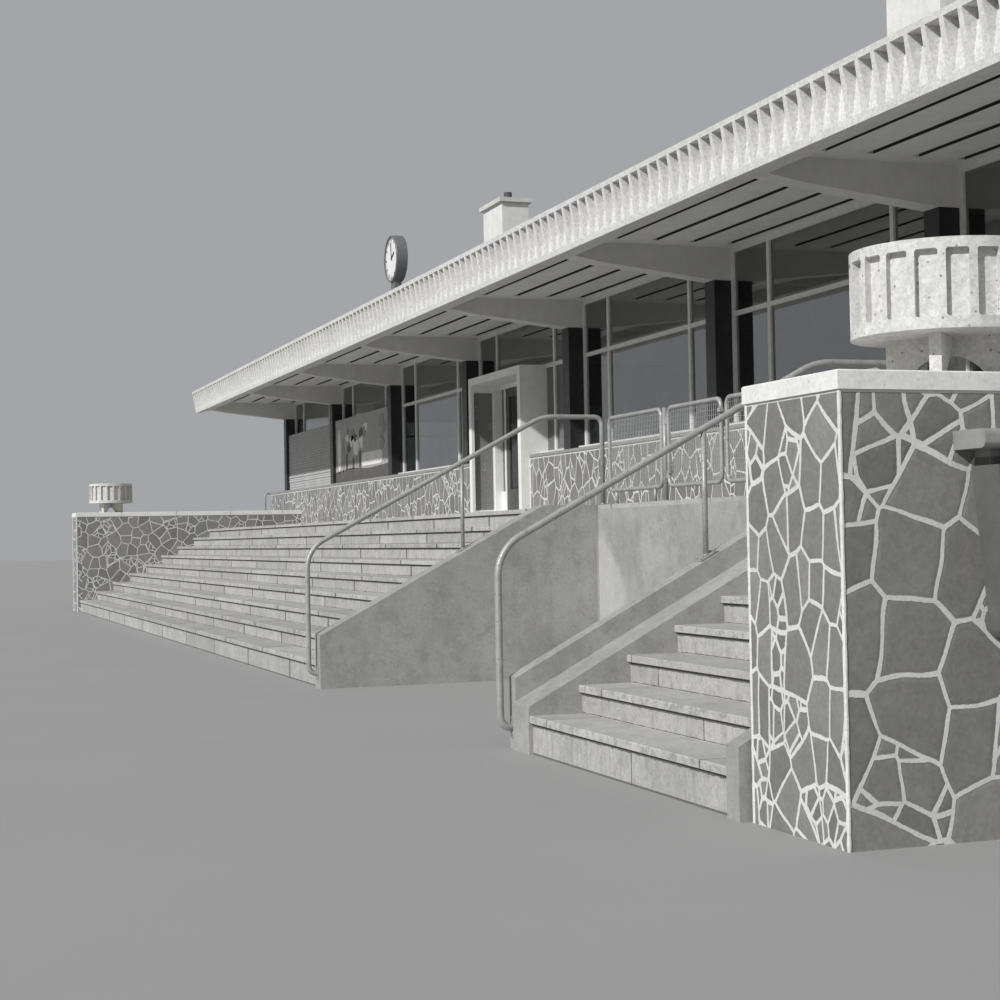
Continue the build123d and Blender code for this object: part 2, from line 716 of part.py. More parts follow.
def hinge_half(side, moving):
    """Barrel halves and flaps of one leaf's hinges, on the leaf or on the frame."""
    x, y = door_hinge_axis(side)
    outward = 1 if side == 0 else -1
    flap_x = x + outward * 26 if moving else x - outward * 20
    span = (min(x, flap_x), max(x, flap_x))
    root_y = door_middle_y() + DOOR_THICKNESS / 2 if moving else FRAME_FACE_Y + DOOR_REVEAL
    pieces = []
    for z in DOOR_HINGE_ZS:
        low = z + RUNNING_GAP / 2 if moving else z - DOOR_HINGE_HALF
        high = z + DOOR_HINGE_HALF if moving else z - RUNNING_GAP / 2
        pieces.append(rod((x, y, low), (x, y, high), DOOR_HINGE_RADIUS))
        pieces.append(block(span, (root_y - 3, y + 3), (low, high)))
    return pieces


def door_middle_y():
    """Middle plane of the door leaves, set back in the frame."""
    return FRAME_FACE_Y + DOOR_REVEAL - FRAME_DEPTH / 2


def door_glass(x, z):
    middle = door_middle_y()
    return block(x, (middle - PANE / 2, middle + PANE / 2), z)


def porch_glass():
    """Side window of the porch and the two sidelights of the doors."""
    left, right, opening = door_line()
    middle = PORCH_X[0] + PORCH_JAMB / 2
    light_y = (PORCH_FACE_Y + PORCH_LIGHT_FRONT, FRAME_FACE_Y - PORCH_LIGHT_BACK)
    side = block((middle - PANE / 2, middle + PANE / 2), light_y, (PORCH_LIGHT_BOTTOM, PORCH_LIGHT_TOP))
    z = (TERRACE_TOP + DOOR_KICK, PORCH_TOP - PORCH_LINTEL - BAR)
    first = door_glass((left, opening[0] - BAR), z)
    second = door_glass((opening[1] + BAR, right), z)
    return group([side, first, second])


def leaf_limits(side):
    """X and Z limits of a door leaf; side is 0 for left and 1 for right."""
    opening = door_line()[2]
    middle = (opening[0] + opening[1]) / 2
    bottom = TERRACE_TOP + DOOR_SILL + DOOR_GAP
    z = (bottom, PORCH_TOP - PORCH_LINTEL - BAR - DOOR_GAP)
    if side == 0:
        return (opening[0] + DOOR_GAP, middle - DOOR_GAP / 2), z
    return (middle + DOOR_GAP / 2, opening[1] - DOOR_GAP), z


def door_leaf(side):
    """Door leaf with a kick panel and an upright pull handle."""
    x, z = leaf_limits(side)
    y = (door_middle_y() - DOOR_THICKNESS / 2, door_middle_y() + DOOR_THICKNESS / 2)
    leaf = block(x, y, z)
    opening_x = (x[0] + DOOR_STILE, x[1] - DOOR_STILE)
    opening = block(opening_x, (y[0] - 5, y[1] + 5), (z[0] + DOOR_KICK, z[1] - DOOR_STILE))
    stile = x[1] - DOOR_STILE / 2 if side == 0 else x[0] + DOOR_STILE / 2
    low = z[0] + DOOR_HANDLE_LOW
    high = low + DOOR_HANDLE_LENGTH
    out = y[0] - DOOR_HANDLE_STANDOFF
    path = [(stile, y[0] + 4, low), (stile, out, low), (stile, out, high), (stile, y[0] + 4, high)]
    handle = tube(path, DOOR_HANDLE_RADIUS, DOOR_HANDLE_BEND)
    return fused([leaf - opening, handle] + hinge_half(side, True))


def door_pane(side):
    x, z = leaf_limits(side)
    return door_glass((x[0] + DOOR_STILE, x[1] - DOOR_STILE), (z[0] + DOOR_KICK, z[1] - DOOR_STILE))


def stair_handrail(x, front):
    """Tubular rail from a hook on the cheek up to a post on the terrace."""
    front_y = front[0] - RAIL_FRONT_OFFSET
    knee_z = RAIL_KNEE_Z
    flat_y = front_y + (RAIL_HEIGHT - knee_z) / PITCH
    end_y = flat_y + RAIL_FLAT_RUN
    points = [(x, front[0], RAIL_FOOT_Z), (x, front_y, RAIL_FOOT_Z), (x, front_y, knee_z)]
    points += [(x, flat_y, RAIL_HEIGHT), (x, end_y, RAIL_HEIGHT)]
    bends = (RAIL_BEND, RAIL_KNEE_BEND, RAIL_CREST_BEND, RAIL_BEND)
    rail = tube(points + [(x, end_y, TERRACE_TOP)], TUBE_RADIUS, bends)
    post_y = RAIL_POST_Y
    foot = front[1] + PITCH * (post_y - front[0])
    head = knee_z + PITCH * (post_y - front_y)
    post = rod((x, post_y, foot - 12), (x, post_y, head), RAIL_POST_RADIUS)
    return rail, post, foot, end_y


def rail_base_plate(x, y, z, slope):
    plate = Box(BASE_PLATE[1] * 0.75, BASE_PLATE[0], BASE_PLATE[2])
    return Pos(x, y, z) * Rot(math.degrees(math.atan(slope)), 0, 0) * plate


def handrail(x, front, cheek_solid):
    """Stair rail, its middle post and plates, trimmed where it meets the cheek."""
    rail, post, foot, end_y = stair_handrail(x, front)
    lift = BASE_PLATE[2] / 2 / math.cos(math.atan(PITCH))
    middle_plate = rail_base_plate(x, RAIL_POST_Y, foot + lift, PITCH)
    end_plate = rail_base_plate(x, end_y, TERRACE_TOP + BASE_PLATE[2] / 2, 0)
    hook_x = (x - RAIL_HOOK_PLATE[0] / 2, x + RAIL_HOOK_PLATE[0] / 2)
    hook_z = (RAIL_FOOT_Z - RAIL_HOOK_PLATE[1] / 2, RAIL_FOOT_Z + RAIL_HOOK_PLATE[1] / 2)
    hook = block(hook_x, (front[0] - BASE_PLATE[2], front[0]), hook_z)
    body = fused([rail, post, middle_plate, end_plate, hook])
    return body - cheek_solid


def rounded_frame(x, z):
    """Closed tube frame with rounded corners in the gate plane."""
    r = GATE_CORNER
    outer = RectangleRounded(x[1] - x[0], z[1] - z[0], r)
    middle = ((x[0] + x[1]) / 2, GATE_Y, (z[0] + z[1]) / 2)
    plane = Plane(origin=middle, x_dir=(1, 0, 0), z_dir=(0, -1, 0))
    return tube_along((plane * outer).face().outer_wire().edges(), GATE_TUBE, (0, 1, 0))


def gate_hinge_zs():
    return (GATE_BOTTOM + 110, GATE_TOP - 110)


def gate_knuckles(post_x, tube_x):
    """Hinge eyes on the leaf that turn on the pins of the post."""
    direction = 1 if tube_x > post_x else -1
    pin_x = post_x + direction * PIN_OFFSET
    span = (min(pin_x, tube_x), max(pin_x, tube_x))
    eyes = []
    for z in gate_hinge_zs():
        eye = Pos(pin_x, GATE_Y, z) * Cylinder(KNUCKLE_RADIUS, 2 * KNUCKLE_HALF)
        strap = block(span, (GATE_Y - 5, GATE_Y + 5), (z - KNUCKLE_HALF, z + KNUCKLE_HALF))
        bore = Pos(pin_x, GATE_Y, z) * Cylinder(PIN_RADIUS + RUNNING_GAP, 3 * KNUCKLE_HALF)
        eyes.append(eye + strap - bore)
    return eyes


def gate_pins(post_x, direction):
    """Lugs on the post, each with an upright pin."""
    pin_x = post_x + direction * PIN_OFFSET
    far = pin_x + direction * KNUCKLE_RADIUS
    span = (min(post_x, far), max(post_x, far))
    pieces = []
    for z in gate_hinge_zs():
        top = z - KNUCKLE_HALF - RUNNING_GAP
        pieces.append(block(span, (GATE_Y - 10, GATE_Y + 10), (top - 14, top)))
        pin_length = 2 * KNUCKLE_HALF + PIN_PROUD
        pieces.append(Pos(pin_x, GATE_Y, top + pin_length / 2) * Cylinder(PIN_RADIUS, pin_length))
    return pieces


def gate_leaf(x, post_x):
    """Hinged gate frame with its hinge eyes."""
    frame = rounded_frame(x, (GATE_BOTTOM, GATE_TOP))
    hinge_x = x[0] if post_x < x[0] else x[1]
    pieces = [frame] + gate_knuckles(post_x, hinge_x)
    return fused(pieces)


def latch_gate_leaf():
    """Left leaf, which also carries the lock case and the latch."""
    leaf = gate_leaf(GATE_LEFT_X, POST_XS[0])
    free = GATE_LEFT_X[1]
    latch = block((free - 10, free + 34), (GATE_Y - 30, GATE_Y + 10), (LATCH_Z - 35, LATCH_Z + 35))
    lock_x = (GATE_LEFT_X[0] + 12, GATE_LEFT_X[0] + 46)
    case = block(lock_x, (GATE_Y - 24, GATE_Y + 24), (LOCK_Z - 55, LOCK_Z + 55))
    return fused([leaf, latch, case])


def gate_posts():
    """Two gate posts on base plates, with the hinge pins of the leaves."""
    posts = []
    for x, direction in zip(POST_XS, (1, -1)):
        plate = Pos(x, GATE_Y, TERRACE_TOP + BASE_PLATE[2] / 2) * Box(*BASE_PLATE)
        post = rod((x, GATE_Y, TERRACE_TOP), (x, GATE_Y, GATE_TOP + 8), POST_RADIUS)
        posts.append(fused([plate, post] + gate_pins(x, direction)))
    return posts


def fixed_screen(x):
    """Fixed mesh screen frame standing on two short feet."""
    frame = rounded_frame(x, (GATE_BOTTOM, GATE_TOP))
    pieces = [frame]
    for foot_x in (x[0] + 160, x[1] - 160):
        pieces.append(rod((foot_x, GATE_Y, TERRACE_TOP), (foot_x, GATE_Y, GATE_BOTTOM), 16))
    return fused(pieces)


def chimney_shaft(x):
    sides = (x - CHIMNEY_WIDTH / 2, x + CHIMNEY_WIDTH / 2)
    return block(sides, CHIMNEY_Y, (ROOF_TOP, CHIMNEY_TOP))


def chimney_cap(x):
    """Overhanging cap slab with a large and a small flue pot."""
    lip = CHIMNEY_CAP_LIP
    sides = (x - CHIMNEY_WIDTH / 2 - lip, x + CHIMNEY_WIDTH / 2 + lip)
    y = (CHIMNEY_Y[0] - lip, CHIMNEY_Y[1] + lip)
    slab = block(sides, y, (CHIMNEY_TOP, CHIMNEY_TOP + CHIMNEY_CAP))
    top = CHIMNEY_TOP + CHIMNEY_CAP
    middle = (CHIMNEY_Y[0] + CHIMNEY_Y[1]) / 2
    big = Pos(x + 120, middle, top + POT_HEIGHT / 2) * Cylinder(POT_RADIUS, POT_HEIGHT)
    small_z = top + SMALL_POT_HEIGHT / 2
    small = Pos(x - 190, middle, small_z) * Cylinder(SMALL_POT_RADIUS, SMALL_POT_HEIGHT)
    bore = Pos(x + 120, middle, top + POT_HEIGHT) * Cylinder(POT_RADIUS - 18, POT_HEIGHT)
    return fused([slab, big, small]) - bore


def clock_case():
    """Drum case with a raised rim on a short pedestal."""
    back = CLOCK_FACE_Y + CLOCK_DEPTH
    middle = (CLOCK_FACE_Y + back) / 2
    drum = Pos(CLOCK_X, middle, CLOCK_Z) * Rot(90, 0, 0) * Cylinder(CLOCK_RADIUS, CLOCK_DEPTH)
    drum = chamfer(drum.edges().filter_by(GeomType.CIRCLE), CLOCK_CHAMFER)
    recess = Rot(90, 0, 0) * Cylinder(CLOCK_RADIUS - CLOCK_RIM, 2 * CLOCK_RIM)
    drum = drum - Pos(CLOCK_X, CLOCK_FACE_Y, CLOCK_Z) * recess
    foot = block((CLOCK_X - 90, CLOCK_X + 90), (middle - 50, middle + 50), (ROOF_TOP, CLOCK_Z - 250))
    plate = block((CLOCK_X - 150, CLOCK_X + 150), (middle - 80, middle + 80), (ROOF_TOP, ROOF_TOP + 14))
    return fused([drum, foot, plate])


def clock_dial():
    front = CLOCK_FACE_Y + CLOCK_RIM - DIAL_THICKNESS
    disc = Rot(90, 0, 0) * Cylinder(CLOCK_RADIUS - CLOCK_RIM, DIAL_THICKNESS)
    return Pos(CLOCK_X, front + DIAL_THICKNESS / 2, CLOCK_Z) * disc


def clock_hands():
    """Two hands fused at the arbor, just before the dial."""
    y = CLOCK_FACE_Y + CLOCK_RIM - DIAL_THICKNESS
    span = (y - 7, y)
    hour = block((-15, 15), span, (-20, 150))
    minute = block((-10, 10), span, (-20, 235))
    arbor = Pos(0, y - 4, 0) * Rot(90, 0, 0) * Cylinder(20, 8)
    hour = Rot(0, 62, 0) * hour
    minute = Rot(0, -6, 0) * minute
    return Pos(CLOCK_X, 0, CLOCK_Z) * fused([arbor, hour, minute])


def letter_box():
    """Wall box with a slot under a rounded hood and a body narrowing downwards."""
    wall = FLANK_RIGHT_X[1]
    points = [(BOX_Y[0], BOX_TOP), (BOX_FOOT_Y[0], BOX_BOTTOM)]
    points += [(BOX_FOOT_Y[1], BOX_BOTTOM), (BOX_Y[1], BOX_TOP)]
    outline = make_face(Polyline(*[(wall, y, z) for y, z in points], close=True))
    body = extrude(outline, amount=BOX_DEPTH, dir=(1, 0, 0))
    corners = [e for e in body.edges().filter_by(Axis.X) if (e @ 0.5).Z < BOX_BOTTOM + 5]
    body = fillet(corners, BOX_CORNER)
    neck_y = (BOX_Y[0] + 20, BOX_Y[1] - 20)
    neck = block((wall, wall + BOX_DEPTH * 0.6), neck_y, (BOX_TOP, HOOD_BOTTOM))
    hood = block((wall, wall + HOOD_DEPTH), HOOD_Y, (HOOD_BOTTOM, HOOD_TOP))
    hood = fillet(hood.edges().filter_by(Axis.Y).sort_by(Axis.X)[-2:], 30)
    return fused([body, neck, hood])


def side_handrail():
    """Wall handrail beside the left end, turned down to the ground at both ends."""
    x = PLINTH_X[0] - SIDE_RAIL_GAP
    front, back = SIDE_RAIL_Y
    points = [(x, front, 0), (x, front, SIDE_RAIL_Z), (x, back, SIDE_RAIL_Z), (x, back, 0)]
    rail = tube(points, SIDE_RAIL_RADIUS, 70)
    middle = (front + back) / 2
    post = rod((x, middle, 0), (x, middle, SIDE_RAIL_Z), SIDE_RAIL_RADIUS * 0.85)
    bracket_y = PLINTH_FACE_Y + PLINTH_THICKNESS / 2
    start = (x, bracket_y, SIDE_RAIL_Z)
    low = (x, bracket_y, SIDE_RAIL_Z - 80)
    arm = rod(low, (PLINTH_X[0], bracket_y, SIDE_RAIL_Z - 80), 10)
    return fused([rail, post, rod(start, (x, bracket_y, SIDE_RAIL_Z - 90), 10), arm])


def plinths():
    """Stone plinth walls of the four sides, with the low wing walls in line."""
    front = (PLINTH_FACE_Y, PLINTH_BACK_Y)
    z = (0, PLINTH_TOP)
    left = block((PLINTH_X[0], PORCH_X[0]), front, z)
    right = block((PORCH_X[1], PLINTH_X[1]), front, z)
    rear = block(PLINTH_X, (REAR_INNER_Y, REAR_OUTER_Y), z)
    end = block((ROOF_X[0], ROOF_X[0] + END_WALL_THICKNESS), (PLINTH_BACK_Y, REAR_INNER_Y), z)
    return left, right, rear, group([end, to_right_end(end)])


def copings():
    """Coping slabs on the plinths: two in front, one behind and one at each end."""
    lip = PLINTH_COPING_LIP
    z = (PLINTH_TOP, COPING_TOP)
    y = (PLINTH_FACE_Y - lip, PLINTH_BACK_Y)
    left = block((PLINTH_X[0] - lip, PORCH_X[0]), y, z)
    right = block((PORCH_X[1], PLINTH_X[1] + lip), y, z)
    rear = block((PLINTH_X[0] - lip, PLINTH_X[1] + lip), (REAR_INNER_Y, REAR_OUTER_Y + lip), z)
    end_x = (ROOF_X[0] - lip, ROOF_X[0] + END_WALL_THICKNESS)
    end = block(end_x, (PLINTH_BACK_Y, REAR_INNER_Y), z)
    return group([left, right]), rear, group([end, to_right_end(end)])


def export_all(nodes):
    """Move every node to the shared frame and write it."""
    os.makedirs("parts", exist_ok=True)
    shift = Location((-CENTRE_X, -CENTRE_Y, 0))
    for name, shape in nodes.items():
        moved = [solid.moved(shift) for solid in shape.solids()]
        whole = moved[0] if len(moved) == 1 else Compound(children=moved)
        export_step(whole, f"parts/{name}.step")


def build():
    broad_x = (FLANK_LEFT_X[1], CHEEK_LEFT_X[0])
    narrow_x = (CURB_LEFT_X[1], CURB_RIGHT_X[0])
    plinth_left, plinth_right, plinth_rear, plinth_ends = plinths()
    front_coping, rear_coping, end_coping = copings()
    cheek_left = cheek(CHEEK_LEFT_X, CHEEK_LEFT_FRONT)
    cheek_right = cheek(CHEEK_RIGHT_X, CHEEK_RIGHT_FRONT)
    rail_left_x = (CHEEK_LEFT_X[0] + CHEEK_LEFT_X[1]) / 2
    rail_right_x = (CHEEK_RIGHT_X[0] + CHEEK_RIGHT_X[1]) / 2
    planters = [((FLANK_LEFT_X[0] + FLANK_LEFT_X[1]) / 2, PLANTER_LEFT_Y)]
    planters.append(((FLANK_RIGHT_X[0] + FLANK_RIGHT_X[1]) / 2, PLANTER_RIGHT_Y))
    fill_y = (RETAINING_BACK_Y, PLINTH_FACE_Y)
    slab_bottom = TERRACE_TOP - TREAD_THICKNESS
    roof_y = (FASCIA_BACK_Y, 2 * MIDDLE_Y - FASCIA_BACK_Y)
    inner_x = (ROOF_X[0] + END_WALL_THICKNESS, ROOF_X[1] - END_WALL_THICKNESS)
    porch_base = block(PORCH_X, (PLINTH_FACE_Y, PLINTH_BACK_Y), (0, TERRACE_TOP))
    beam_edge = edge_beam()
    front_fascia = fascia()
    panels = [soffit_panel(bay_limits(i)) for i in range(BAY_COUNT)]
    rail = side_handrail()
    return {
        "stair_risers": group([*flight_risers(broad_x), *flight_risers(narrow_x)]),
        "stair_treads": group([*flight_treads(broad_x), *flight_treads(narrow_x)]),
        "terrace_slab": terrace_slab(),
        "terrace_fill": block((FLANK_LEFT_X[1], FLANK_RIGHT_X[0]), fill_y, (0, slab_bottom)),
        "cheek_wall_left": cheek_left,
        "cheek_wall_right": cheek_right,
        "stair_curbs": group([
            sloping_wall(CURB_LEFT_X, CURB_LEFT_FRONT),
            sloping_wall(CURB_RIGHT_X, CURB_RIGHT_FRONT),
        ]),
        "niche_back_wall": block(
            (CHEEK_LEFT_X[1], CHEEK_RIGHT_X[0]), (NICHE_FACE_Y, RETAINING_BACK_Y), (0, slab_bottom)
        ),
        "flank_wall_left": block(FLANK_LEFT_X, (FLANK_LEFT_Y, PLINTH_FACE_Y), (0, FLANK_TOP)),
        "flank_wall_right": block(FLANK_RIGHT_X, (FLANK_RIGHT_Y, PLINTH_FACE_Y), (0, FLANK_TOP)),
        "flank_copings": group([
            flank_coping(FLANK_LEFT_X, FLANK_LEFT_Y), flank_coping(FLANK_RIGHT_X, FLANK_RIGHT_Y)
        ]),
        "planter_tubs": group([planter_tub(x, y) for x, y in planters]),
        "planter_feet": group([planter_foot(x, y) for x, y in planters]),
        "front_plinth": group([plinth_left, plinth_right]),
        "rear_plinth": plinth_rear,
        "end_plinths": plinth_ends,
        "porch_base": porch_base,
        "front_copings": front_coping,
        "rear_coping": rear_coping,
        "end_copings": end_coping,
        "floor_slab": block(
            inner_x, (PLINTH_BACK_Y, REAR_INNER_Y), (TERRACE_TOP - FLOOR_THICKNESS, TERRACE_TOP)
        ),
        "columns": columns(),
        "roof_beams": group([roof_beam(column_x(i)) for i in range(BAY_COUNT + 1)]),
        "roof_slab": block(ROOF_X, roof_y, (SOFFIT_BOTTOM + SOFFIT_THICKNESS, ROOF_TOP)),
        "edge_beams": group([beam_edge, to_rear(beam_edge)]),
        "front_fascia": front_fascia,
        "rear_fascia": to_rear(front_fascia),
        "soffit_panels": group(panels + [to_rear(p) for p in panels]),
        "front_window_frames": front_window_frames(),
        "entrance_window_frame": entrance_frame(bay_limits(ENTRANCE_BAY)),
        "front_window_panes": front_window_panes(),
        "rear_window_frames": rear_window_frames(),
        "rear_window_panes": rear_window_panes(),
        "boarded_panels": boarded_panels(),
        "picture_panel": picture_panel(),
        "porch_surround": porch(),
        "porch_glass": porch_glass(),
        "door_frame": door_frame(),
        "door_leaf_left": door_leaf(0),
        "door_leaf_right": door_leaf(1),
        "door_pane_left": door_pane(0),
        "door_pane_right": door_pane(1),
        "stair_handrails": group([
            handrail(rail_left_x, CHEEK_LEFT_FRONT, cheek_left),
            handrail(rail_right_x, CHEEK_RIGHT_FRONT, cheek_right),
        ]),
        "side_handrails": group([rail, to_right_end(rail)]),
        "gate_posts": group(gate_posts()),
        "mesh_screens": group([fixed_screen(SCREEN_LEFT_X), fixed_screen(SCREEN_RIGHT_X)]),
        "gate_left": latch_gate_leaf(),
        "gate_right": gate_leaf(GATE_RIGHT_X, POST_XS[1]),
        "chimney_shafts": group([chimney_shaft(x) for x in CHIMNEY_XS]),
        "chimney_caps": group([chimney_cap(x) for x in CHIMNEY_XS]),
        "clock_case": clock_case(),
        "clock_dial": fused([clock_dial(), clock_hands()]),
        "letter_box": letter_box(),
    }


export_all(build())
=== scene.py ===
"""Looks of a long, low railway station building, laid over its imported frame.

Every piece is placed in metres in the frame of the solids. The origin lies on the ground in the
middle of the building's outline, +X runs along the front and +Y from the stairs into the hall.
"""

import json
import logging
import math
import random
from dataclasses import dataclass
from enum import Enum
from typing import Dict, Iterable, List, Optional, Sequence, Tuple

import bmesh
import bpy
from mathutils import Matrix, Vector

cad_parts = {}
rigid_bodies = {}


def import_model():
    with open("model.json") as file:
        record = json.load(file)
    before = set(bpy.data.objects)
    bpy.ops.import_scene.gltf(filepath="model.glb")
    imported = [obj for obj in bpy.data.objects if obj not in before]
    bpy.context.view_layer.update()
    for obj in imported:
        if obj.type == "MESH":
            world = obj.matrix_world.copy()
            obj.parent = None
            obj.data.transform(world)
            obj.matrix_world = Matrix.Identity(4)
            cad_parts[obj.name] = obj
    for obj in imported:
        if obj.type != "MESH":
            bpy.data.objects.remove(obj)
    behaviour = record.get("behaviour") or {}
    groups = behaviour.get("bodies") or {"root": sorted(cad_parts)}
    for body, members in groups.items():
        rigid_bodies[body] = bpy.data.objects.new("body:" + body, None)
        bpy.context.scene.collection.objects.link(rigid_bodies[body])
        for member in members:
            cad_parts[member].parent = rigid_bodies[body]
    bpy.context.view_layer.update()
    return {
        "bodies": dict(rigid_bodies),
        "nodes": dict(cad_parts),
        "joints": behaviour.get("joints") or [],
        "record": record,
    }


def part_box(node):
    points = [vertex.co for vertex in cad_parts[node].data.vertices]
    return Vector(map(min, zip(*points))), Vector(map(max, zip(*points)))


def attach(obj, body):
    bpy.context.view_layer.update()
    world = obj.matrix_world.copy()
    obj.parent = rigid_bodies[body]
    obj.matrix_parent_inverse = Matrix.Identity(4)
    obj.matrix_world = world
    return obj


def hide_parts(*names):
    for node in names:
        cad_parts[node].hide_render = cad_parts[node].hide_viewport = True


LOG = logging.getLogger("station")

Point = Tuple[float, float, float]
Colour = Tuple[float, float, float]
Span = Tuple[float, float]
Node = bpy.types.Node
Socket = bpy.types.NodeSocket
Outputs = bpy.types.NodeOutputs
Tree = bpy.types.NodeTree
Vert = bmesh.types.BMVert
Face = bmesh.types.BMFace
Coat = Tuple[Socket, Socket, Socket]

FLOAT = "NodeSocketFloat"
VECTOR = "NodeSocketVector"
MATERIAL = "NodeSocketMaterial"

ALONG_X = Vector((1.0, 0.0, 0.0))
ALONG_Y = Vector((0.0, 1.0, 0.0))
UP = Vector((0.0, 0.0, 1.0))

# Levels and planes of the frame that the materials follow.
FIRST_TREAD = 0.245
RISE = 0.18
GOING = 0.34
NOSING_START = -7.0885
DECK_START = -4.30
FLAG_DEPTH = 0.62
NARROW_FLIGHT = 5.8
FLANK_FRONT = -7.09
FLANK_BACK = -2.4
FLANK_TOP = 1.9805
PARAPET_TOP = 2.485
WALL_COPINGS_END = 2.3

# Sizes in site metres that several pieces share.
SITE_SHIFT = Vector((5.8, -7.1085, 0.0))
TERRACE = 1.685
FIRST_BAY = -23.0825
BAY_PITCH = 4.35
BAY_COUNT = 8
BAY_LENGTH = 4.115
HALL_MIDDLE = 8.53
PORCH_SIDES: Span = (-9.41, -7.12)
GATE_PLANE = 2.92
GATE_HEIGHTS: Span = (1.82, 2.532)


def on_site(x: float, y: float, z: float) -> Vector:
    """Turn metres measured from the left cheek wall's foot into the frame.

    Args:
        x: Distance to the right of the cheek wall's right face.
        y: Distance behind the cheek wall's front.
        z: Height over the ground.

    Returns:
        The point in the frame of the solids.
    """
    return Vector((x, y, z)) + SITE_SHIFT


def round_offset(radius: float, angle: float, z: float) -> Vector:
    """Return a point of a level circle at a height."""
    return Vector((radius * math.cos(angle), radius * math.sin(angle), z))


def shaded(colour: Colour, factor: float) -> Colour:
    """Return a colour made lighter or darker, with no channel over 1."""
    return tuple(min(1.0, channel * factor) for channel in colour)


class Body(Enum):
    """Rigid bodies of the frame that pieces ride on."""

    BUILDING = "building"
    LEFT_GATE = "left_gate"
    RIGHT_GATE = "right_gate"


class Graph:
    """Small helper that adds and links nodes in one tree."""

    def __init__(self, tree: Tree) -> None:
        """Keep the tree that the nodes go into."""
        self.tree = tree

    def add(self, kind: str, inputs: Optional[Dict[object, object]] = None, **settings: object) -> Node:
        """Add a node, set its properties and fill or link its inputs.

        Args:
            kind: The node's type name.
            inputs: Input name or number to a value or an output socket.
            **settings: Node properties such as operation or blend_type.

        Returns:
            The new node.
        """
        node = self.tree.nodes.new(kind)
        for name, value in settings.items():
            setattr(node, name, value)
        for key, value in (inputs or {}).items():
            self.feed(value, node.inputs[key])
        return node

    def feed(self, value: object, socket: Socket) -> None:
        """Link an output to an input, or set the input's value.

        Args:
            value: An output, or a plain value.
            socket: The input that takes it.
        """
        if isinstance(value, Socket):
            self.tree.links.new(value, socket)
        else:
            socket.default_value = value

    def math(self, operation: str, a: object, b: object = 0.0, c: object = 0.0) -> Socket:
        """Return the output of a Math node on values or sockets."""
        return self.add("ShaderNodeMath", {0: a, 1: b, 2: c}, operation=operation).outputs[0]

    def times(self, a: object, b: object) -> Socket:
        """Return a times b."""
        return self.math("MULTIPLY", a, b)

    def affine(self, a: object, b: object, c: object) -> Socket:
        """Return a times b plus c."""
        return self.math("MULTIPLY_ADD", a, b, c)

    def plus(self, a: object, b: object) -> Socket:
        """Return a plus b."""
        return self.math("ADD", a, b)

    def minus(self, a: object, b: object) -> Socket:
        """Return a minus b."""
        return self.math("SUBTRACT", a, b)

    def over(self, a: object, b: object) -> Socket:
        """Return a divided by b."""
        return self.math("DIVIDE", a, b)

    def rest(self, a: object) -> Socket:
        """Return one minus a."""
        return self.minus(1.0, a)

    def fract(self, a: object) -> Socket:
        """Return what a has over its whole part."""
        return self.math("FRACT", a)

    def off_middle(self, a: object) -> Socket:
        """Return the distance of a from one half."""
        return self.math("ABSOLUTE", self.minus(a, 0.5))

    def least(self, a: object, b: object) -> Socket:
        """Return the lesser of a and b."""
        return self.math("MINIMUM", a, b)

    def most(self, a: object, b: object) -> Socket:
        """Return the greater of a and b."""
        return self.math("MAXIMUM", a, b)

    def below(self, a: object, b: object) -> Socket:
        """Return 1 where a is under b."""
        return self.math("LESS_THAN", a, b)

    def above(self, a: object, b: object) -> Socket:
        """Return 1 where a is over b."""
        return self.math("GREATER_THAN", a, b)

    def near(self, a: object, b: object, reach: object) -> Socket:
        """Return 1 where a lies within reach of b."""
        return self.math("COMPARE", a, b, reach)

    def smooth(self, value: object, low: float, high: float) -> Socket:
        """Return value mapped smoothly from low..high to 0..1."""
        span = {"Value": value, "From Min": low, "From Max": high}
        return self.add("ShaderNodeMapRange", span, interpolation_type="SMOOTHSTEP").outputs["Result"]

    def spread(self, value: object, low: float, high: float) -> Socket:
        """Return value from 0..1 mapped linearly to low..high."""
        span = {"Value": value, "To Min": low, "To Max": high}
        return self.add("ShaderNodeMapRange", span).outputs["Result"]

    def choose(self, factor: object, a: object, b: object) -> Socket:
        """Return the number a where factor is 0 and b where it is 1."""
        return self.add("ShaderNodeMix", {0: factor, 2: a, 3: b}, data_type="FLOAT").outputs[0]

    def mix(self, factor: object, a: object, b: object, blend: str = "MIX") -> Socket:
        """Mix two colours, given as sockets or as values.

        Args:
            factor: Share of the second colour.
            a: The first colour.
            b: The second colour.
            blend: How the second is laid over the first.

        Returns:
            The mixed colour.
        """
        node = self.add("ShaderNodeMix", {0: factor}, data_type="RGBA", blend_type=blend)
        for index, value in ((6, a), (7, b)):
            self.feed(value if isinstance(value, Socket) else (*value, 1.0), node.inputs[index])
        return node.outputs[2]

    def tint(self, colour: Socket, value: Socket) -> Socket:
        """Return the colour made lighter or darker by a number."""
        grey = self.add("ShaderNodeCombineColor", {0: value, 1: value, 2: value}).outputs[0]
        return self.mix(1.0, colour, grey, "MULTIPLY")

    def noise(self, vector: object, scale: object, detail: float = 4.0, rough: float = 0.55) -> Socket:
        """Return a noise value at one scale."""
        inputs = {"Vector": vector, "Scale": scale, "Detail": detail, "Roughness": rough}
        return self.add("ShaderNodeTexNoise", inputs).outputs["Fac"]

    def cells(self, vector: object, scale: object, flat: bool = False) -> Socket:
        """Make a cell pattern with a number for each cell.

        Args:
            vector: The place.
            scale: Cells per metre.
            flat: Whether the cells lie in a plane.

        Returns:
            The random number.
        """
        size = "2D" if flat else "3D"
        node = self.add("ShaderNodeTexVoronoi", {"Vector": vector, "Scale": scale}, voronoi_dimensions=size)
        return self.first(node.outputs["Color"])

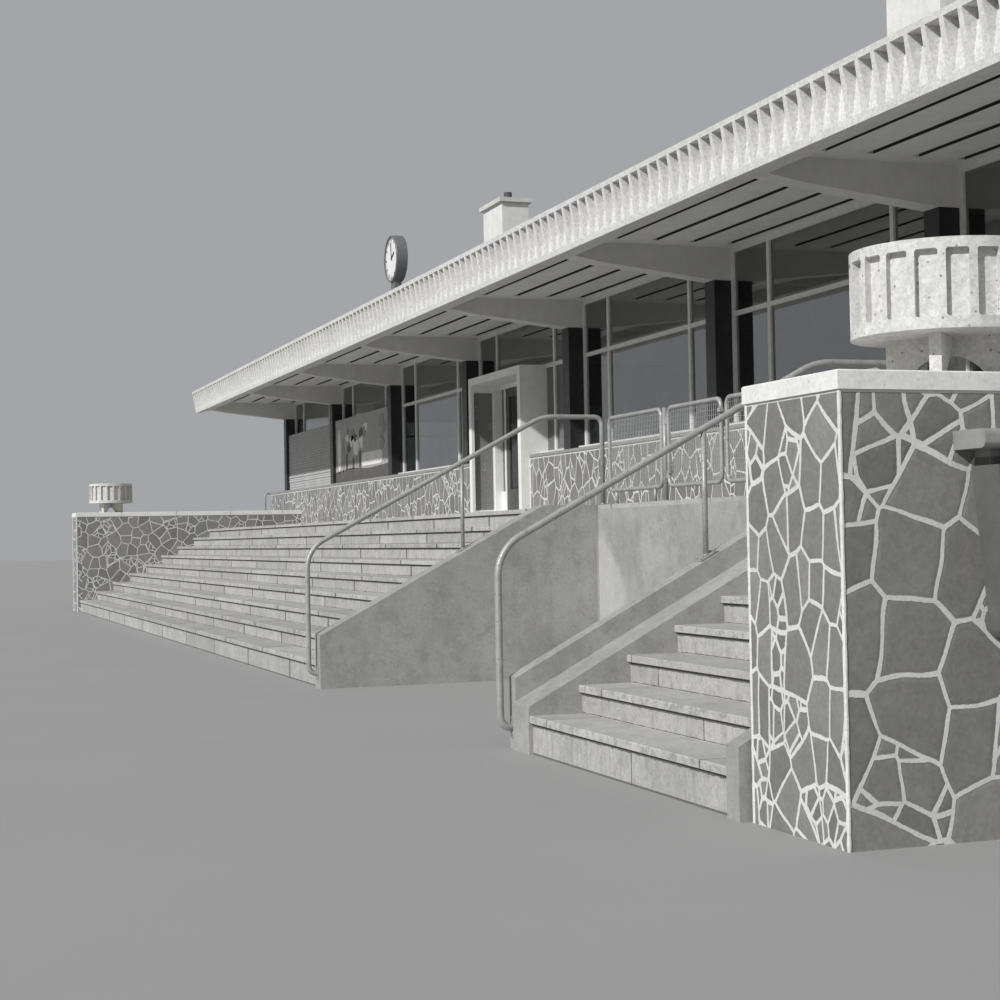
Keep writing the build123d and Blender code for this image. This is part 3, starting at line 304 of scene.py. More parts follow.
    def first(self, colour: Socket) -> Socket:
        """Return the first channel of a colour."""
        return self.add("ShaderNodeSeparateColor", {0: colour}).outputs[0]

    def random(self, key: Socket) -> Socket:
        """Return a random number for each value of a key."""
        return self.add("ShaderNodeTexWhiteNoise", {"W": key}, noise_dimensions="1D").outputs["Value"]

    def coords(self) -> Socket:
        """Return the object coordinates."""
        return self.add("ShaderNodeTexCoord").outputs["Object"]

    def split(self, vector: Socket) -> Outputs:
        """Return the three parts of a vector."""
        return self.add("ShaderNodeSeparateXYZ", {0: vector}).outputs

    def join(self, x: object, y: object, z: object = 0.0) -> Socket:
        """Return a vector made of three numbers."""
        return self.add("ShaderNodeCombineXYZ", {0: x, 1: y, 2: z}).outputs[0]

    def on_vectors(self, operation: str, inputs: Dict[object, object]) -> Socket:
        """Return the output of a Vector Math node."""
        return self.add("ShaderNodeVectorMath", inputs, operation=operation).outputs[0]

    def group(self, tree: Tree, values: Optional[Dict[str, object]] = None) -> Outputs:
        """Place a shared group with its own values and return its outputs."""
        return self.add("ShaderNodeGroup", values, node_tree=tree).outputs


class SharedGroup(Graph):
    """Shader group with named number outputs, and the graph inside it."""

    def __init__(
        self, name: str, sizes: Dict[str, float], outputs: Sequence[str], placed: bool = True
    ) -> None:
        """Make an empty group.

        Args:
            name: The group's name.
            sizes: Name and default of each number input.
            outputs: Name of each output number.
            placed: Whether it also takes the place as a vector.
        """
        super().__init__(bpy.data.node_groups.new(name, "ShaderNodeTree"))
        sockets = self.tree.interface
        if placed:
            sockets.new_socket(name="Vector", in_out="INPUT", socket_type=VECTOR)
        for label, size in sizes.items():
            sockets.new_socket(name=label, in_out="INPUT", socket_type=FLOAT).default_value = size
        for label in outputs:
            sockets.new_socket(name=label, in_out="OUTPUT", socket_type=FLOAT)
        self.source = self.add("NodeGroupInput").outputs
        self.sink = self.add("NodeGroupOutput").inputs

    def ended(self, **values: Socket) -> Tree:
        """Feed the outputs, an underscore standing for a space, and return the tree.

        Args:
            **values: Output name to what feeds it.

        Returns:
            The group's tree.
        """
        for label, value in values.items():
            self.feed(value, self.sink[label.replace("_", " ")])
        return self.tree


class Effects:
    """Shader groups that several finishes share."""

    def __init__(self) -> None:
        """Build every group once."""
        self.weather = self._weather()
        self.grain = self._grain()
        self.stones = self._stones()
        self.joints = self._joints()
        self.streaks = self._streaks()

    @staticmethod
    def _weather() -> Tree:
        """Soft stains with smaller ones among them: a mask from 0 to 1.

        Returns:
            The group's tree.
        """
        g = SharedGroup("soft_stains", {"Size": 1.0}, ["Mask"])
        vector, scale = g.source["Vector"], g.over(1.0, g.source["Size"])
        fine = g.noise(vector, g.times(scale, 6.1), 4.0, 0.6)
        both = g.affine(g.noise(vector, scale, 5.0, 0.6), 0.65, g.times(fine, 0.35))
        return g.ended(Mask=g.smooth(both, 0.34, 0.66))

    @staticmethod
    def _grain() -> Tree:
        """Cast grain with small pits and mixed chippings.

        Returns:
            The group's tree.
        """
        sizes = {"Grain": 120.0, "Pits": 0.5, "Chippings": 0.1}
        g = SharedGroup("cast_grain", sizes, ["Height", "Pit mask", "Tone"])
        vector, size, chippings = g.source["Vector"], g.source["Grain"], g.source["Chippings"]
        grain = g.noise(vector, size, 3.0, 0.6)
        pits = g.add("ShaderNodeTexVoronoi", {"Vector": vector, "Scale": g.times(size, 0.28)}).outputs
        hole = g.rest(g.smooth(pits["Distance"], 0.08, 0.24))
        mask = g.times(g.times(hole, g.above(g.first(pits["Color"]), 0.6)), g.source["Pits"])
        chip = g.cells(vector, g.times(size, 0.55))
        tone = g.affine(g.minus(chip, 0.5), chippings, 1.0)
        return g.ended(Height=g.minus(g.affine(chip, chippings, grain), mask), Pit_mask=mask, Tone=tone)

    @staticmethod
    def _stones() -> Tree:
        """Broken wall stones of mixed sizes with pale joints between them.

        Returns:
            The group's tree.
        """
        sizes = {"Front": 5.6, "Inner": 4.2, "Outer": 3.0, "Joint": 0.008}
        g = SharedGroup("irregular_stones", sizes, ["Joint mask", "Stone value", "Height"], placed=False)
        place = g.split(g.coords())
        facing = g.split(g.add("ShaderNodeNewGeometry").outputs["True Normal"])
        side = g.above(g.math("ABSOLUTE", facing[0]), 0.5)
        outward = g.times(side, g.above(g.times(place[0], facing[0]), 0.0))
        along = g.choose(side, place[0], g.plus(place[1], 31.7))
        size = g.choose(g.near(place[1], FLANK_FRONT, 0.06), g.source["Inner"], g.source["Front"])
        size = g.choose(outward, size, g.source["Outer"])
        flat = g.join(along, g.times(place[2], g.choose(side, 0.72, 0.92)))
        inputs = {"Vector": flat, "Scale": 3.0, "Detail": 1.0}
        bend = g.add("ShaderNodeTexNoise", inputs, noise_dimensions="2D")
        shift = g.on_vectors("SUBTRACT", {0: bend.outputs["Color"], 1: (0.5, 0.5, 0.5)})
        bent = g.on_vectors("ADD", {0: flat, 1: g.on_vectors("SCALE", {0: shift, "Scale": 0.05})})
        edges, values = [], []
        settings = {"voronoi_dimensions": "2D", "feature": "DISTANCE_TO_EDGE"}
        for factor in (1.0, 1.8):
            scale = g.times(size, factor)
            edge = g.add("ShaderNodeTexVoronoi", {"Vector": bent, "Scale": scale}, **settings)
            edges.append(g.over(edge.outputs["Distance"], scale))
            values.append(g.cells(bent, scale, flat=True))
        broken = g.below(values[0], 0.20)
        distance = g.choose(broken, edges[0], g.least(edges[0], edges[1]))
        value = g.fract(g.affine(g.times(broken, values[1]), 3.7, values[0]))
        ragged = g.times(g.minus(g.noise(flat, 48.0, 3.0), 0.5), 0.007)
        girth = g.times(g.source["Joint"], g.choose(outward, 1.0, 1.35))
        half = g.times(g.spread(g.noise(flat, 4.0, 2.0), 0.35, 1.65), girth)
        inside = g.minus(g.plus(distance, ragged), half)
        joint = g.rest(g.smooth(inside, -0.0016, 0.0016))
        flank = g.times(g.near(place[2], FLANK_TOP, 0.0065), g.below(place[1], FLANK_BACK))
        joint = g.most(joint, g.most(flank, g.near(place[2], PARAPET_TOP, 0.009)))
        worn = g.times(g.smooth(inside, 0.0, 0.02), 0.35)
        face = g.affine(g.noise(flat, 11.0, 5.0), 0.5, worn)
        height = g.choose(joint, face, g.spread(g.noise(flat, 60.0, 3.0), 0.55, 1.0))
        return g.ended(Joint_mask=joint, Stone_value=value, Height=height)

    @staticmethod
    def _joints() -> Tree:
        """Butt joints of the steps and terrace flags, and painted shade under nosings and at riser feet.

        Returns:
            The group's tree.
        """
        outputs = ["Joint", "Stone value", "Nosing", "Riser", "Shade line"]
        sizes = {"Length": 0.9, "Rise": RISE, "First": FIRST_TREAD, "Width": 0.013}
        g = SharedGroup("step_joints", sizes, outputs, placed=False)
        length = g.source["Length"]
        place = g.split(g.coords())
        level = g.over(g.minus(place[2], g.source["First"]), g.source["Rise"])
        row = g.most(g.math("CEIL", g.minus(level, 0.02)), 0.0)
        below = g.minus(row, level)
        riser = g.above(below, 0.245)
        deck = g.above(place[1], DECK_START)
        flag = g.times(g.over(g.minus(place[1], DECK_START), FLAG_DEPTH), deck)
        key = g.plus(g.affine(row, 5.0, g.times(riser, 2.3)), g.math("FLOOR", flag))
        along = g.plus(g.over(place[0], length), g.random(key))
        part = g.fract(along)
        gap = g.times(g.least(part, g.rest(part)), length)
        nearest = g.least(gap, g.plus(g.times(g.fract(flag), FLAG_DEPTH), g.rest(deck)))
        wide = g.times(g.source["Width"], g.choose(g.below(place[0], NARROW_FLIGHT), 1.0, 3.4))
        joint = g.below(nearest, g.times(g.noise(g.coords(), 9.0, 3.0), wide))
        value = g.random(g.affine(key, 37.0, g.math("FLOOR", along)))
        deep = g.fract(g.over(g.minus(place[1], NOSING_START), GOING))
        nosing = g.times(g.smooth(deep, 0.13, 0.0), g.rest(deck))
        # Painted shade: a dark band on each riser under the nosing above it, and a dark line at each riser's
        # foot.
        ragged = g.affine(g.noise(g.coords(), 22.0, 3.0), 0.10, below)
        back = g.times(g.above(ragged, 1.0), g.above(place[2], 0.2))
        foot = g.most(back, g.below(place[2], 0.012))
        shade = g.times(g.most(g.below(ragged, 0.43), foot), riser)
        return g.ended(Joint=joint, Stone_value=value, Nosing=nosing, Riser=riser, Shade_line=shade)

    @staticmethod
    def _streaks() -> Tree:
        """Upright rain streaks: a mask from 0 to 1.

        Returns:
            The group's tree.
        """
        g = SharedGroup("rain_streaks", {"Spacing": 0.12, "Length": 1.2}, ["Mask"], placed=False)
        place = g.split(g.coords())
        across = g.over(g.plus(place[0], place[1]), g.source["Spacing"])
        stretched = g.join(across, g.over(place[2], g.source["Length"]))
        return g.ended(Mask=g.smooth(g.noise(stretched, 1.0, 4.0, 0.6), 0.46, 0.72))


@dataclass(frozen=True)
class Finish:
    """Weathered cast surface: stains, blotches, grain, chippings, streaks, and pits darkened as painted
    shade.
    """

    name: str
    slot: str
    colour: Colour
    rough: float
    stain: float
    stain_size: float
    grain: float
    bump: float
    blotch: float = 0.10
    pits: float = 0.3
    chippings: float = 0.10
    streak: float = 0.0

    def build(self, effects: Effects) -> bpy.types.Material:
        """Make the finish's material.

        Args:
            effects: The shared shader groups.

        Returns:
            The new material.
        """
        material = bpy.data.materials.new(self.name)
        material.use_nodes = True
        material.node_tree.nodes.clear()
        g = Graph(material.node_tree)
        colour, rough, height = self.coat(g, effects)
        bump = g.add("ShaderNodeBump", {"Height": height, "Strength": 1.0, "Distance": self.bump})
        inputs = {"Base Color": colour, "Roughness": rough, "Normal": bump.outputs[0], **self.fixed()}
        shader = g.add("ShaderNodeBsdfPrincipled", inputs)
        g.add("ShaderNodeOutputMaterial", {0: shader.outputs[0]})
        return material

    def fixed(self) -> Dict[str, float]:
        """Return the shader's inputs that stay at one value."""
        return {}

    def shade(self, factor: float) -> Colour:
        """Return the finish's colour made lighter or darker."""
        return shaded(self.colour, factor)

    def stains(self, g: Graph, effects: Effects, share: float = 1.0) -> Socket:
        """Return a mask of stains at a share of the finish's stain size."""
        return g.group(effects.weather, {"Vector": g.coords(), "Size": self.stain_size * share})["Mask"]

    def stained(self, g: Graph, stain: Socket) -> Socket:
        """Return the finish's colour, darker and lighter by the stains."""
        return g.mix(stain, self.shade(1.0 - self.stain), self.shade(1.0 + self.stain))

    def weathered(self, g: Graph, effects: Effects) -> Coat:
        """Lay stains, blotches, grain and streaks over the finish's colour, and darken the pits as painted
        shade.

        Args:
            g: The material's graph.
            effects: The shared shader groups.

        Returns:
            Colour, grain height and stain mask.
        """
        coords = g.coords()
        stain = self.stains(g, effects)
        patch = self.stains(g, effects, 0.31)
        sizes = {"Grain": self.grain, "Pits": self.pits, "Chippings": self.chippings}
        grain = g.group(effects.grain, {"Vector": coords, **sizes})
        colour = self.stained(g, stain)
        colour = g.mix(g.times(g.smooth(patch, 0.45, 0.95), self.blotch), colour, self.shade(0.4))
        colour = g.tint(colour, grain["Tone"])
        colour = g.tint(colour, g.spread(g.noise(coords, self.grain * 0.35, 2.0), 0.94, 1.06))
        # Painted shade: the pits are darkened to stand for the shade inside them.
        colour = g.mix(grain["Pit mask"], colour, self.shade(0.42))
        if self.streak > 0.0:
            streak = g.group(effects.streaks)["Mask"]
            colour = g.mix(g.times(streak, self.streak), colour, self.shade(0.45))
        return colour, grain["Height"], stain

    def coat(self, g: Graph, effects: Effects) -> Coat:
        """Return the surface's colour, roughness and height."""
        colour, height, stain = self.weathered(g, effects)
        return colour, g.spread(stain, self.rough - 0.08, min(1.0, self.rough + 0.08)), height


@dataclass(frozen=True)
class WallStoneFinish(Finish):
    """Broken wall stones set in wide pale mortar."""

    mortar: Colour = (0.70, 0.695, 0.675)
    front: float = 6.2
    inner: float = 4.8
    outer: float = 3.1
    joint: float = 0.0078

    def coat(self, g: Graph, effects: Effects) -> Coat:
        """Lay stones and mortar over the weathered base.

        Args:
            g: The material's graph.
            effects: The shared shader groups.

        Returns:
            Colour, roughness and height.
        """
        colour, height, stain = self.weathered(g, effects)
        sizes = {"Front": self.front, "Inner": self.inner, "Outer": self.outer, "Joint": self.joint}
        stones = g.group(effects.stones, sizes)
        colour = g.tint(colour, g.spread(stones["Stone value"], 0.80, 1.20))
        mortar = g.mix(stain, self.mortar, shaded(self.mortar, 0.84))
        colour = g.mix(stones["Joint mask"], colour, g.tint(mortar, g.spread(height, 0.86, 1.06)))
        rough = g.spread(stones["Joint mask"], self.rough - 0.14, 0.93)
        return colour, rough, g.affine(height, 0.10, stones["Height"])


@dataclass(frozen=True)
class StepFinish(Finish):
    """Step stones with staggered joints, worn nosings, and painted shade under nosings and at riser feet."""

    length: float = 2.15

    def coat(self, g: Graph, effects: Effects) -> Coat:
        """Add the joints, a tone for each stone, the wear and the lines of painted shade.

        Args:
            g: The material's graph.
            effects: The shared shader groups.

        Returns:
            Colour, roughness and height.
        """
        colour, height, stain = self.weathered(g, effects)
        steps = g.group(effects.joints, {"Length": self.length})
        colour = g.tint(colour, g.spread(steps["Stone value"], 0.91, 1.09))
        rubbed = g.times(g.smooth(g.noise(g.coords(), 14.0, 4.0, 0.7), 0.5, 0.62), steps["Nosing"])
        streak = g.group(effects.streaks, {"Spacing": 0.05, "Length": 0.5})["Mask"]
        grime = g.times(streak, steps["Riser"])
        marks = [(rubbed, 0.55, 0.5), (grime, 0.30, 0.4)]
        # The shade line is painted shade under the nosings and at the risers' feet.
        marks += [(steps["Shade line"], 0.8, 0.16), (steps["Joint"], 0.85, 0.16)]
        for mask, strength, factor in marks:
            colour = g.mix(g.times(mask, strength), colour, self.shade(factor))
        lowered = g.affine(steps["Joint"], -2.5, g.affine(rubbed, -1.2, height))
        return colour, g.spread(stain, self.rough - 0.1, self.rough + 0.1), lowered


@dataclass(frozen=True)
class CopingFinish(Finish):
    """Cast coping slabs with a butt joint every slab length, greyer on the parapets."""

    front_length: float = 1.45
    side_length: float = 1.15
    side_start: float = -6.2
    gap: float = 0.0035
    parapet: Colour = (0.27, 0.267, 0.258)

    def coat(self, g: Graph, effects: Effects) -> Coat:
        """Add the joints between the slabs and the grime beside them.

        Args:
            g: The material's graph.
            effects: The shared shader groups.

        Returns:
            Colour, roughness and height.
        """
        colour, height, stain = self.weathered(g, effects)
        place = g.split(g.coords())
        across = g.off_middle(g.fract(g.over(place[0], self.front_length)))
        run = g.over(g.minus(place[1], self.side_start), self.side_length)
        deep = g.off_middle(g.fract(g.plus(run, 0.5)))
        nearest = g.least(g.times(across, self.front_length), g.times(deep, self.side_length))
        grey = g.mix(stain, self.parapet, shaded(self.parapet, 1.15))
        grey = g.tint(grey, g.spread(height, 0.9, 1.05))
        colour = g.mix(g.above(place[2], WALL_COPINGS_END), colour, grey)
        grime = g.times(g.smooth(nearest, 0.05, 0.0), g.spread(stain, 0.05, 0.4))
        colour = g.mix(grime, colour, self.shade(0.45))
        joint = g.below(nearest, self.gap)
        colour = g.mix(g.times(joint, 0.8), colour, self.shade(0.2))
        return colour, g.spread(stain, self.rough - 0.1, self.rough + 0.08), g.affine(joint, -2.0, height)


@dataclass(frozen=True)
class PaintedLightPatchFinish(Finish):
    """Cast concrete with a painted patch of light at one corner of the niche wall."""

    left: float = 5.8
    top: float = 1.44
    width: float = 0.75
    fall: float = 0.62
    wall: float = -4.2825

    def coat(self, g: Graph, effects: Effects) -> Coat:
        """Paint a patch of light on the concrete under a slanting line beside the corner.

        Args:
            g: The material's graph.
            effects: The shared shader groups.

        Returns:
            Colour, roughness and height.
        """
        colour, rough, height = super().coat(g, effects)
        coords = g.coords()
        place = g.split(coords)
        # Painted light: a pale patch under a slanting edge at the niche wall's left corner.
        across = g.over(g.minus(place[0], self.left), self.width)
        line = g.affine(g.math("POWER", across, 1.6), -self.fall, self.top)
        wander = g.affine(g.minus(g.noise(coords, 6.0, 3.0), 0.5), 0.25, line)
        under = g.smooth(g.minus(wander, place[2]), 0.0, 0.14)
        mask = g.times(g.times(under, g.smooth(across, 1.0, 0.7)), g.near(place[1], self.wall, 0.02))
        strength = g.times(mask, g.spread(g.noise(coords, 9.0, 4.0), 0.15, 0.55))
        return g.mix(strength, colour, self.shade(1.8)), rough, height


@dataclass(frozen=True)
class TwoPartFinish(Finish):
    """Weathered surface whose upper part, over a level line, has its own colour."""

    line: float = 0.0
    upper: Colour = (0.1, 0.1, 0.1)

    def coat(self, g: Graph, effects: Effects) -> Coat:
        """Change the colour over the line.

        Args:
            g: The material's graph.
            effects: The shared shader groups.

        Returns:
            Colour, roughness and height.
        """
        colour, height, stain = self.weathered(g, effects)
        over = g.above(g.split(g.coords())[2], self.line)
        other = g.mix(stain, shaded(self.upper, 0.85), shaded(self.upper, 1.15))
        rough = g.spread(stain, self.rough - 0.08, min(1.0, self.rough + 0.08))
        return g.mix(over, colour, other), rough, height


@dataclass(frozen=True)
class PaintFinish(Finish):
    """Paint with faint dirt, a soft sheen, chipped spots and fine orange peel."""

    metal: float = 0.0
    dirt: Colour = (0.14, 0.135, 0.13)
    dirt_amount: float = 0.10
    chips: float = 0.0

    def fixed(self) -> Dict[str, float]:
        """Return how far the paint looks like bare metal."""
        return {"Metallic": self.metal}

    def coat(self, g: Graph, effects: Effects) -> Coat:
        """Lay thin dirt and chips over the paint.

        Args:
            g: The material's graph.
            effects: The shared shader groups.

        Returns:
            Colour, roughness and height.
        """
        coords = g.coords()
        dust = self.stains(g, effects, 0.16)
        colour = self.stained(g, self.stains(g, effects))
        colour = g.mix(g.times(dust, self.dirt_amount), colour, self.dirt)
        if self.streak > 0.0:
            colour = g.mix(g.times(g.group(effects.streaks)["Mask"], self.streak), colour, self.dirt)
        height = g.noise(coords, self.grain, 3.0)
        if self.chips > 0.0:
            chip = g.smooth(g.noise(coords, 42.0, 4.0, 0.7), 0.60, 0.64)
            colour = g.mix(g.times(chip, self.chips), colour, self.dirt)
            height = g.affine(chip, -1.0, height)
        return colour, g.spread(dust, self.rough - 0.06, self.rough + 0.14), height


@dataclass(frozen=True)
class BoardFinish(PaintFinish):
    """Painted boarding with fine level grooves."""

    groove_pitch: float = 0.0537

    def coat(self, g: Graph, effects: Effects) -> Coat:
        """Darken and sink a groove at every pitch.

        Args:
            g: The material's graph.
            effects: The shared shader groups.

        Returns:
            Colour, roughness and height.
        """
        colour, rough, _ = super().coat(g, effects)
        part = g.fract(g.over(g.split(g.coords())[2], self.groove_pitch))
        groove = g.rest(g.smooth(g.off_middle(part), 0.06, 0.13))
        return g.mix(g.times(groove, 0.5), colour, self.shade(0.35)), rough, g.times(groove, -6.0)


@dataclass(frozen=True)
class GlassFinish(Finish):
    """Window glass with strong reflections and a faint dusty film."""

    index: float = 2.8

    def fixed(self) -> Dict[str, float]:
        """Return how clear and how reflecting the glass is."""
        return {"Transmission Weight": 1.0, "IOR": self.index}

    def coat(self, g: Graph, effects: Effects) -> Coat:
        """Tint the pane and make it slightly wavy.

        Args:
            g: The material's graph.
            effects: The shared shader groups.

        Returns:
            Colour, roughness and height.
        """
        film = self.stains(g, effects)
        colour = g.mix(film, self.shade(1.0), self.shade(0.86))
        return colour, g.spread(film, self.rough, self.rough + 0.03), g.noise(g.coords(), 1.1, 2.0)


@dataclass(frozen=True)
class GravelFinish(Finish):
    """Loose gravel on roofing felt."""

    stones: float = 42.0

    def coat(self, g: Graph, effects: Effects) -> Coat:
        """Scatter small stones of mixed tones.

        Args:
            g: The material's graph.
            effects: The shared shader groups.

        Returns:
            Colour, roughness and height.
        """
        stones = g.add("ShaderNodeTexVoronoi", {"Vector": g.coords(), "Scale": self.stones}).outputs
        colour, height, stain = self.weathered(g, effects)
        colour = g.tint(colour, g.spread(g.first(stones["Color"]), 0.6, 1.4))
        return colour, g.spread(stain, 0.85, 0.98), g.affine(height, 0.1, g.rest(stones["Distance"]))


@dataclass(frozen=True)
class DialFinish(Finish):
    """White enamel dial whose raised hands are black."""

    front: float = -4.1885
    hand: Colour = (0.015, 0.015, 0.015)

    def coat(self, g: Graph, effects: Effects) -> Coat:
        """Colour what stands in front of the dial black.

        Args:
            g: The material's graph.
            effects: The shared shader groups.

        Returns:
            Colour, roughness and height.
        """
        coords = g.coords()
        proud = g.below(g.split(coords)[1], self.front - 0.0006)
        stain = self.stains(g, effects)
        colour = g.mix(proud, self.stained(g, stain), self.hand)
        return colour, g.spread(stain, self.rough, self.rough + 0.12), g.noise(coords, 300.0, 2.0)


FINISHES: Tuple[Finish, ...] = (
    StepFinish(
        "step_stone", "stair_stone", (0.425, 0.42, 0.405), 0.86, 0.10, 0.55, 130.0, 0.0016, blotch=0.14,
        pits=0.5, chippings=0.16, streak=0.06,
    ),
    # Stained concrete of the cheeks and niche, with a painted patch of light on the niche wall.
    PaintedLightPatchFinish(
        "weathered_concrete_and_painted_light", "concrete", (0.345, 0.342, 0.332), 0.88, 0.13, 0.8, 110.0, 0.0016, blotch=0.22,
        pits=0.45, streak=0.14,
    ),
    WallStoneFinish(
        "broken_wall_stone", "rubble_stone", (0.205, 0.202, 0.196), 0.74, 0.08, 0.5, 90.0, 0.0045, pits=0.2,
        chippings=0.16,
    ),
    CopingFinish(
        "coping_concrete", "coping_stone", (0.76, 0.755, 0.735), 0.82, 0.06, 0.5, 120.0, 0.0010, blotch=0.12,
        pits=0.4, streak=0.05,
    ),
    Finish(
        "planter_concrete", "planter_concrete", (0.62, 0.615, 0.595), 0.84, 0.06, 0.3, 110.0, 0.0022,
        blotch=0.12, pits=1.0, chippings=0.24, streak=0.08,
    ),
    Finish(
        "hall_floor", "floor_stone", (0.30, 0.295, 0.28), 0.4, 0.06, 0.9, 150.0, 0.0002, blotch=0.05,
        pits=0.1, chippings=0.5,
    ),
    PaintFinish("column_paint", "dark_column", (0.016, 0.016, 0.017), 0.35, 0.15, 0.6, 90.0, 0.0003),
    PaintFinish("beam_paint", "pale_beam", (0.68, 0.675, 0.66), 0.72, 0.05, 1.3, 60.0, 0.0006, streak=0.06),
    GravelFinish(
        "roof_gravel", "roofing", (0.22, 0.215, 0.205), 0.9, 0.2, 1.5, 60.0, 0.006, blotch=0.15, pits=0.0,
    ),
    Finish(
        "fascia_concrete", "fascia_concrete", (0.67, 0.665, 0.645), 0.82, 0.05, 0.45, 100.0, 0.0016,
        blotch=0.07, pits=0.5, chippings=0.24, streak=0.05,
    ),
    PaintFinish("soffit_paint", "soffit", (0.74, 0.737, 0.72), 0.75, 0.05, 1.2, 70.0, 0.0005),
    PaintFinish(
        "frame_paint", "window_frame", (0.74, 0.737, 0.72), 0.5, 0.06, 0.4, 120.0, 0.0003, dirt_amount=0.16,
    ),
    GlassFinish("window_glass", "glass", (0.40, 0.42, 0.42), 0.0, 0.0, 1.4, 1.0, 0.0004),
    BoardFinish("board_paint", "boarding", (0.46, 0.457, 0.445), 0.62, 0.07, 0.5, 60.0, 0.0008, streak=0.10),
    PaintFinish(
        "picture_ground", "picture_paint", (0.40, 0.395, 0.38), 0.66, 0.10, 0.35, 50.0, 0.0008, streak=0.06,
        chips=0.3,
    ),
    PaintFinish("porch_paint", "porch_white", (0.86, 0.857, 0.84), 0.5, 0.03, 0.8, 80.0, 0.0004, streak=0.05),
    PaintFinish("door_paint", "door_frame_paint", (0.085, 0.085, 0.084), 0.40, 0.10, 0.5, 90.0, 0.0003),
    PaintFinish(
        "rail_paint", "rail_steel", (0.39, 0.39, 0.385), 0.42, 0.12, 0.12, 160.0, 0.0006, metal=0.25,
        chips=0.7,
    ),
    Finish(
        "chimney_render", "render", (0.74, 0.735, 0.715), 0.88, 0.07, 0.6, 140.0, 0.0016, pits=0.2,
        chippings=0.08, streak=0.14,
    ),
    TwoPartFinish(
        "cap_concrete", "cap_concrete", (0.60, 0.595, 0.575), 0.86, 0.10, 0.5, 150.0, 0.0012, blotch=0.12,
        pits=0.4, chippings=0.08, streak=0.12, line=6.832, upper=(0.085, 0.084, 0.082),
    ),
    PaintFinish("clock_paint", "clock_case", (0.150, 0.150, 0.152), 0.38, 0.10, 0.3, 150.0, 0.0002),
    DialFinish("clock_dial", "dial_white", (0.82, 0.82, 0.80), 0.22, 0.03, 0.4, 200.0, 0.0001),
    TwoPartFinish(
        "box_paint", "letter_box", (0.125, 0.124, 0.12), 0.5, 0.08, 0.3, 120.0, 0.0003, blotch=0.0, pits=0.0,
        chippings=0.05, streak=0.08, line=1.69, upper=(0.28, 0.278, 0.272),
    ),
)

EXTRA_FINISHES: Tuple[Finish, ...] = (
    Finish(
        "planting_soil", "planter_concrete", (0.055, 0.045, 0.036), 0.95, 0.3, 0.15, 60.0, 0.010, blotch=0.2,
        pits=0.8, chippings=0.5,
    ),
    Finish(
        "joint_mortar", "rubble_stone", (0.70, 0.695, 0.675), 0.92, 0.08, 0.3, 140.0, 0.0016, chippings=0.12,
    ),
    PaintFinish("wire_zinc", "rail_steel", (0.48, 0.48, 0.475), 0.45, 0.1, 0.2, 200.0, 0.0001, metal=0.5),
    PaintFinish("bolt_zinc", "rail_steel", (0.34, 0.335, 0.325), 0.4, 0.12, 0.05, 300.0, 0.0001, metal=0.7),
    PaintFinish("brass_lock", "rail_steel", (0.30, 0.26, 0.17), 0.35, 0.12, 0.05, 300.0, 0.0001, metal=0.8),
    # Black for the painted shade inside the soffit slots.
    PaintFinish("slot_painted_shade", "soffit", (0.020, 0.020, 0.020), 0.7, 0.15, 0.3, 90.0, 0.0002),
    PaintFinish(
        "flashing_zinc", "roofing", (0.36, 0.365, 0.37), 0.45, 0.12, 0.7, 60.0, 0.0006, streak=0.1,
        metal=0.6,
    ),
    PaintFinish("black_marks", "clock_case", (0.014, 0.014, 0.014), 0.35, 0.1, 0.3, 100.0, 0.0001),
    PaintFinish("panel_white", "porch_white", (0.78, 0.777, 0.76), 0.5, 0.04, 0.5, 80.0, 0.0003),
    PaintFinish("pane_film", "glass", (0.225, 0.224, 0.220), 0.45, 0.08, 0.5, 160.0, 0.0003),
    PaintFinish("dot_grey", "glass", (0.56, 0.558, 0.55), 0.5, 0.06, 0.3, 120.0, 0.0001),
    # Black for the painted shade in the mouth of the wall box.
    PaintFinish("box_mouth_shade_paint", "letter_box", (0.012, 0.012, 0.012), 0.9, 0.1, 0.3, 60.0, 0.0002),
    PaintFinish(
        "picture_light", "picture_paint", (0.80, 0.79, 0.76), 0.6, 0.08, 0.2, 60.0, 0.0006, chips=0.4,
    ),
    PaintFinish(
        "picture_mid", "picture_paint", (0.30, 0.295, 0.285), 0.6, 0.12, 0.2, 60.0, 0.0006, chips=0.4,
    ),
    PaintFinish(
        "picture_dark", "picture_paint", (0.10, 0.098, 0.094), 0.6, 0.14, 0.2, 60.0, 0.0006, chips=0.3,
    ),
)


class Wardrobe:
    """Holds every finish's material and slot, and the first material of each slot."""

    def __init__(self) -> None:
        """Build the shared groups and all materials."""
        effects = Effects()
        self.by_name: Dict[str, bpy.types.Material] = {}
        self.by_slot: Dict[str, bpy.types.Material] = {}
        self.slots: Dict[str, str] = {}
        for finish in FINISHES + EXTRA_FINISHES:
            self.by_name[finish.name] = finish.build(effects)
            self.slots[finish.name] = finish.slot
            self.by_slot.setdefault(finish.slot, self.by_name[finish.name])

    def dress_nodes(self, frame: Dict[str, object]) -> None:
        """Give every CAD node the material of its slot.
        """
        slots = {part["node"]: part["material_slot"] for part in frame["record"]["subparts"]}
        for name, node in frame["nodes"].items():
            node.data.materials.clear()
            node.data.materials.append(self.by_slot[slots[name]])
            LOG.info("dressed %s as %s", name, slots[name])


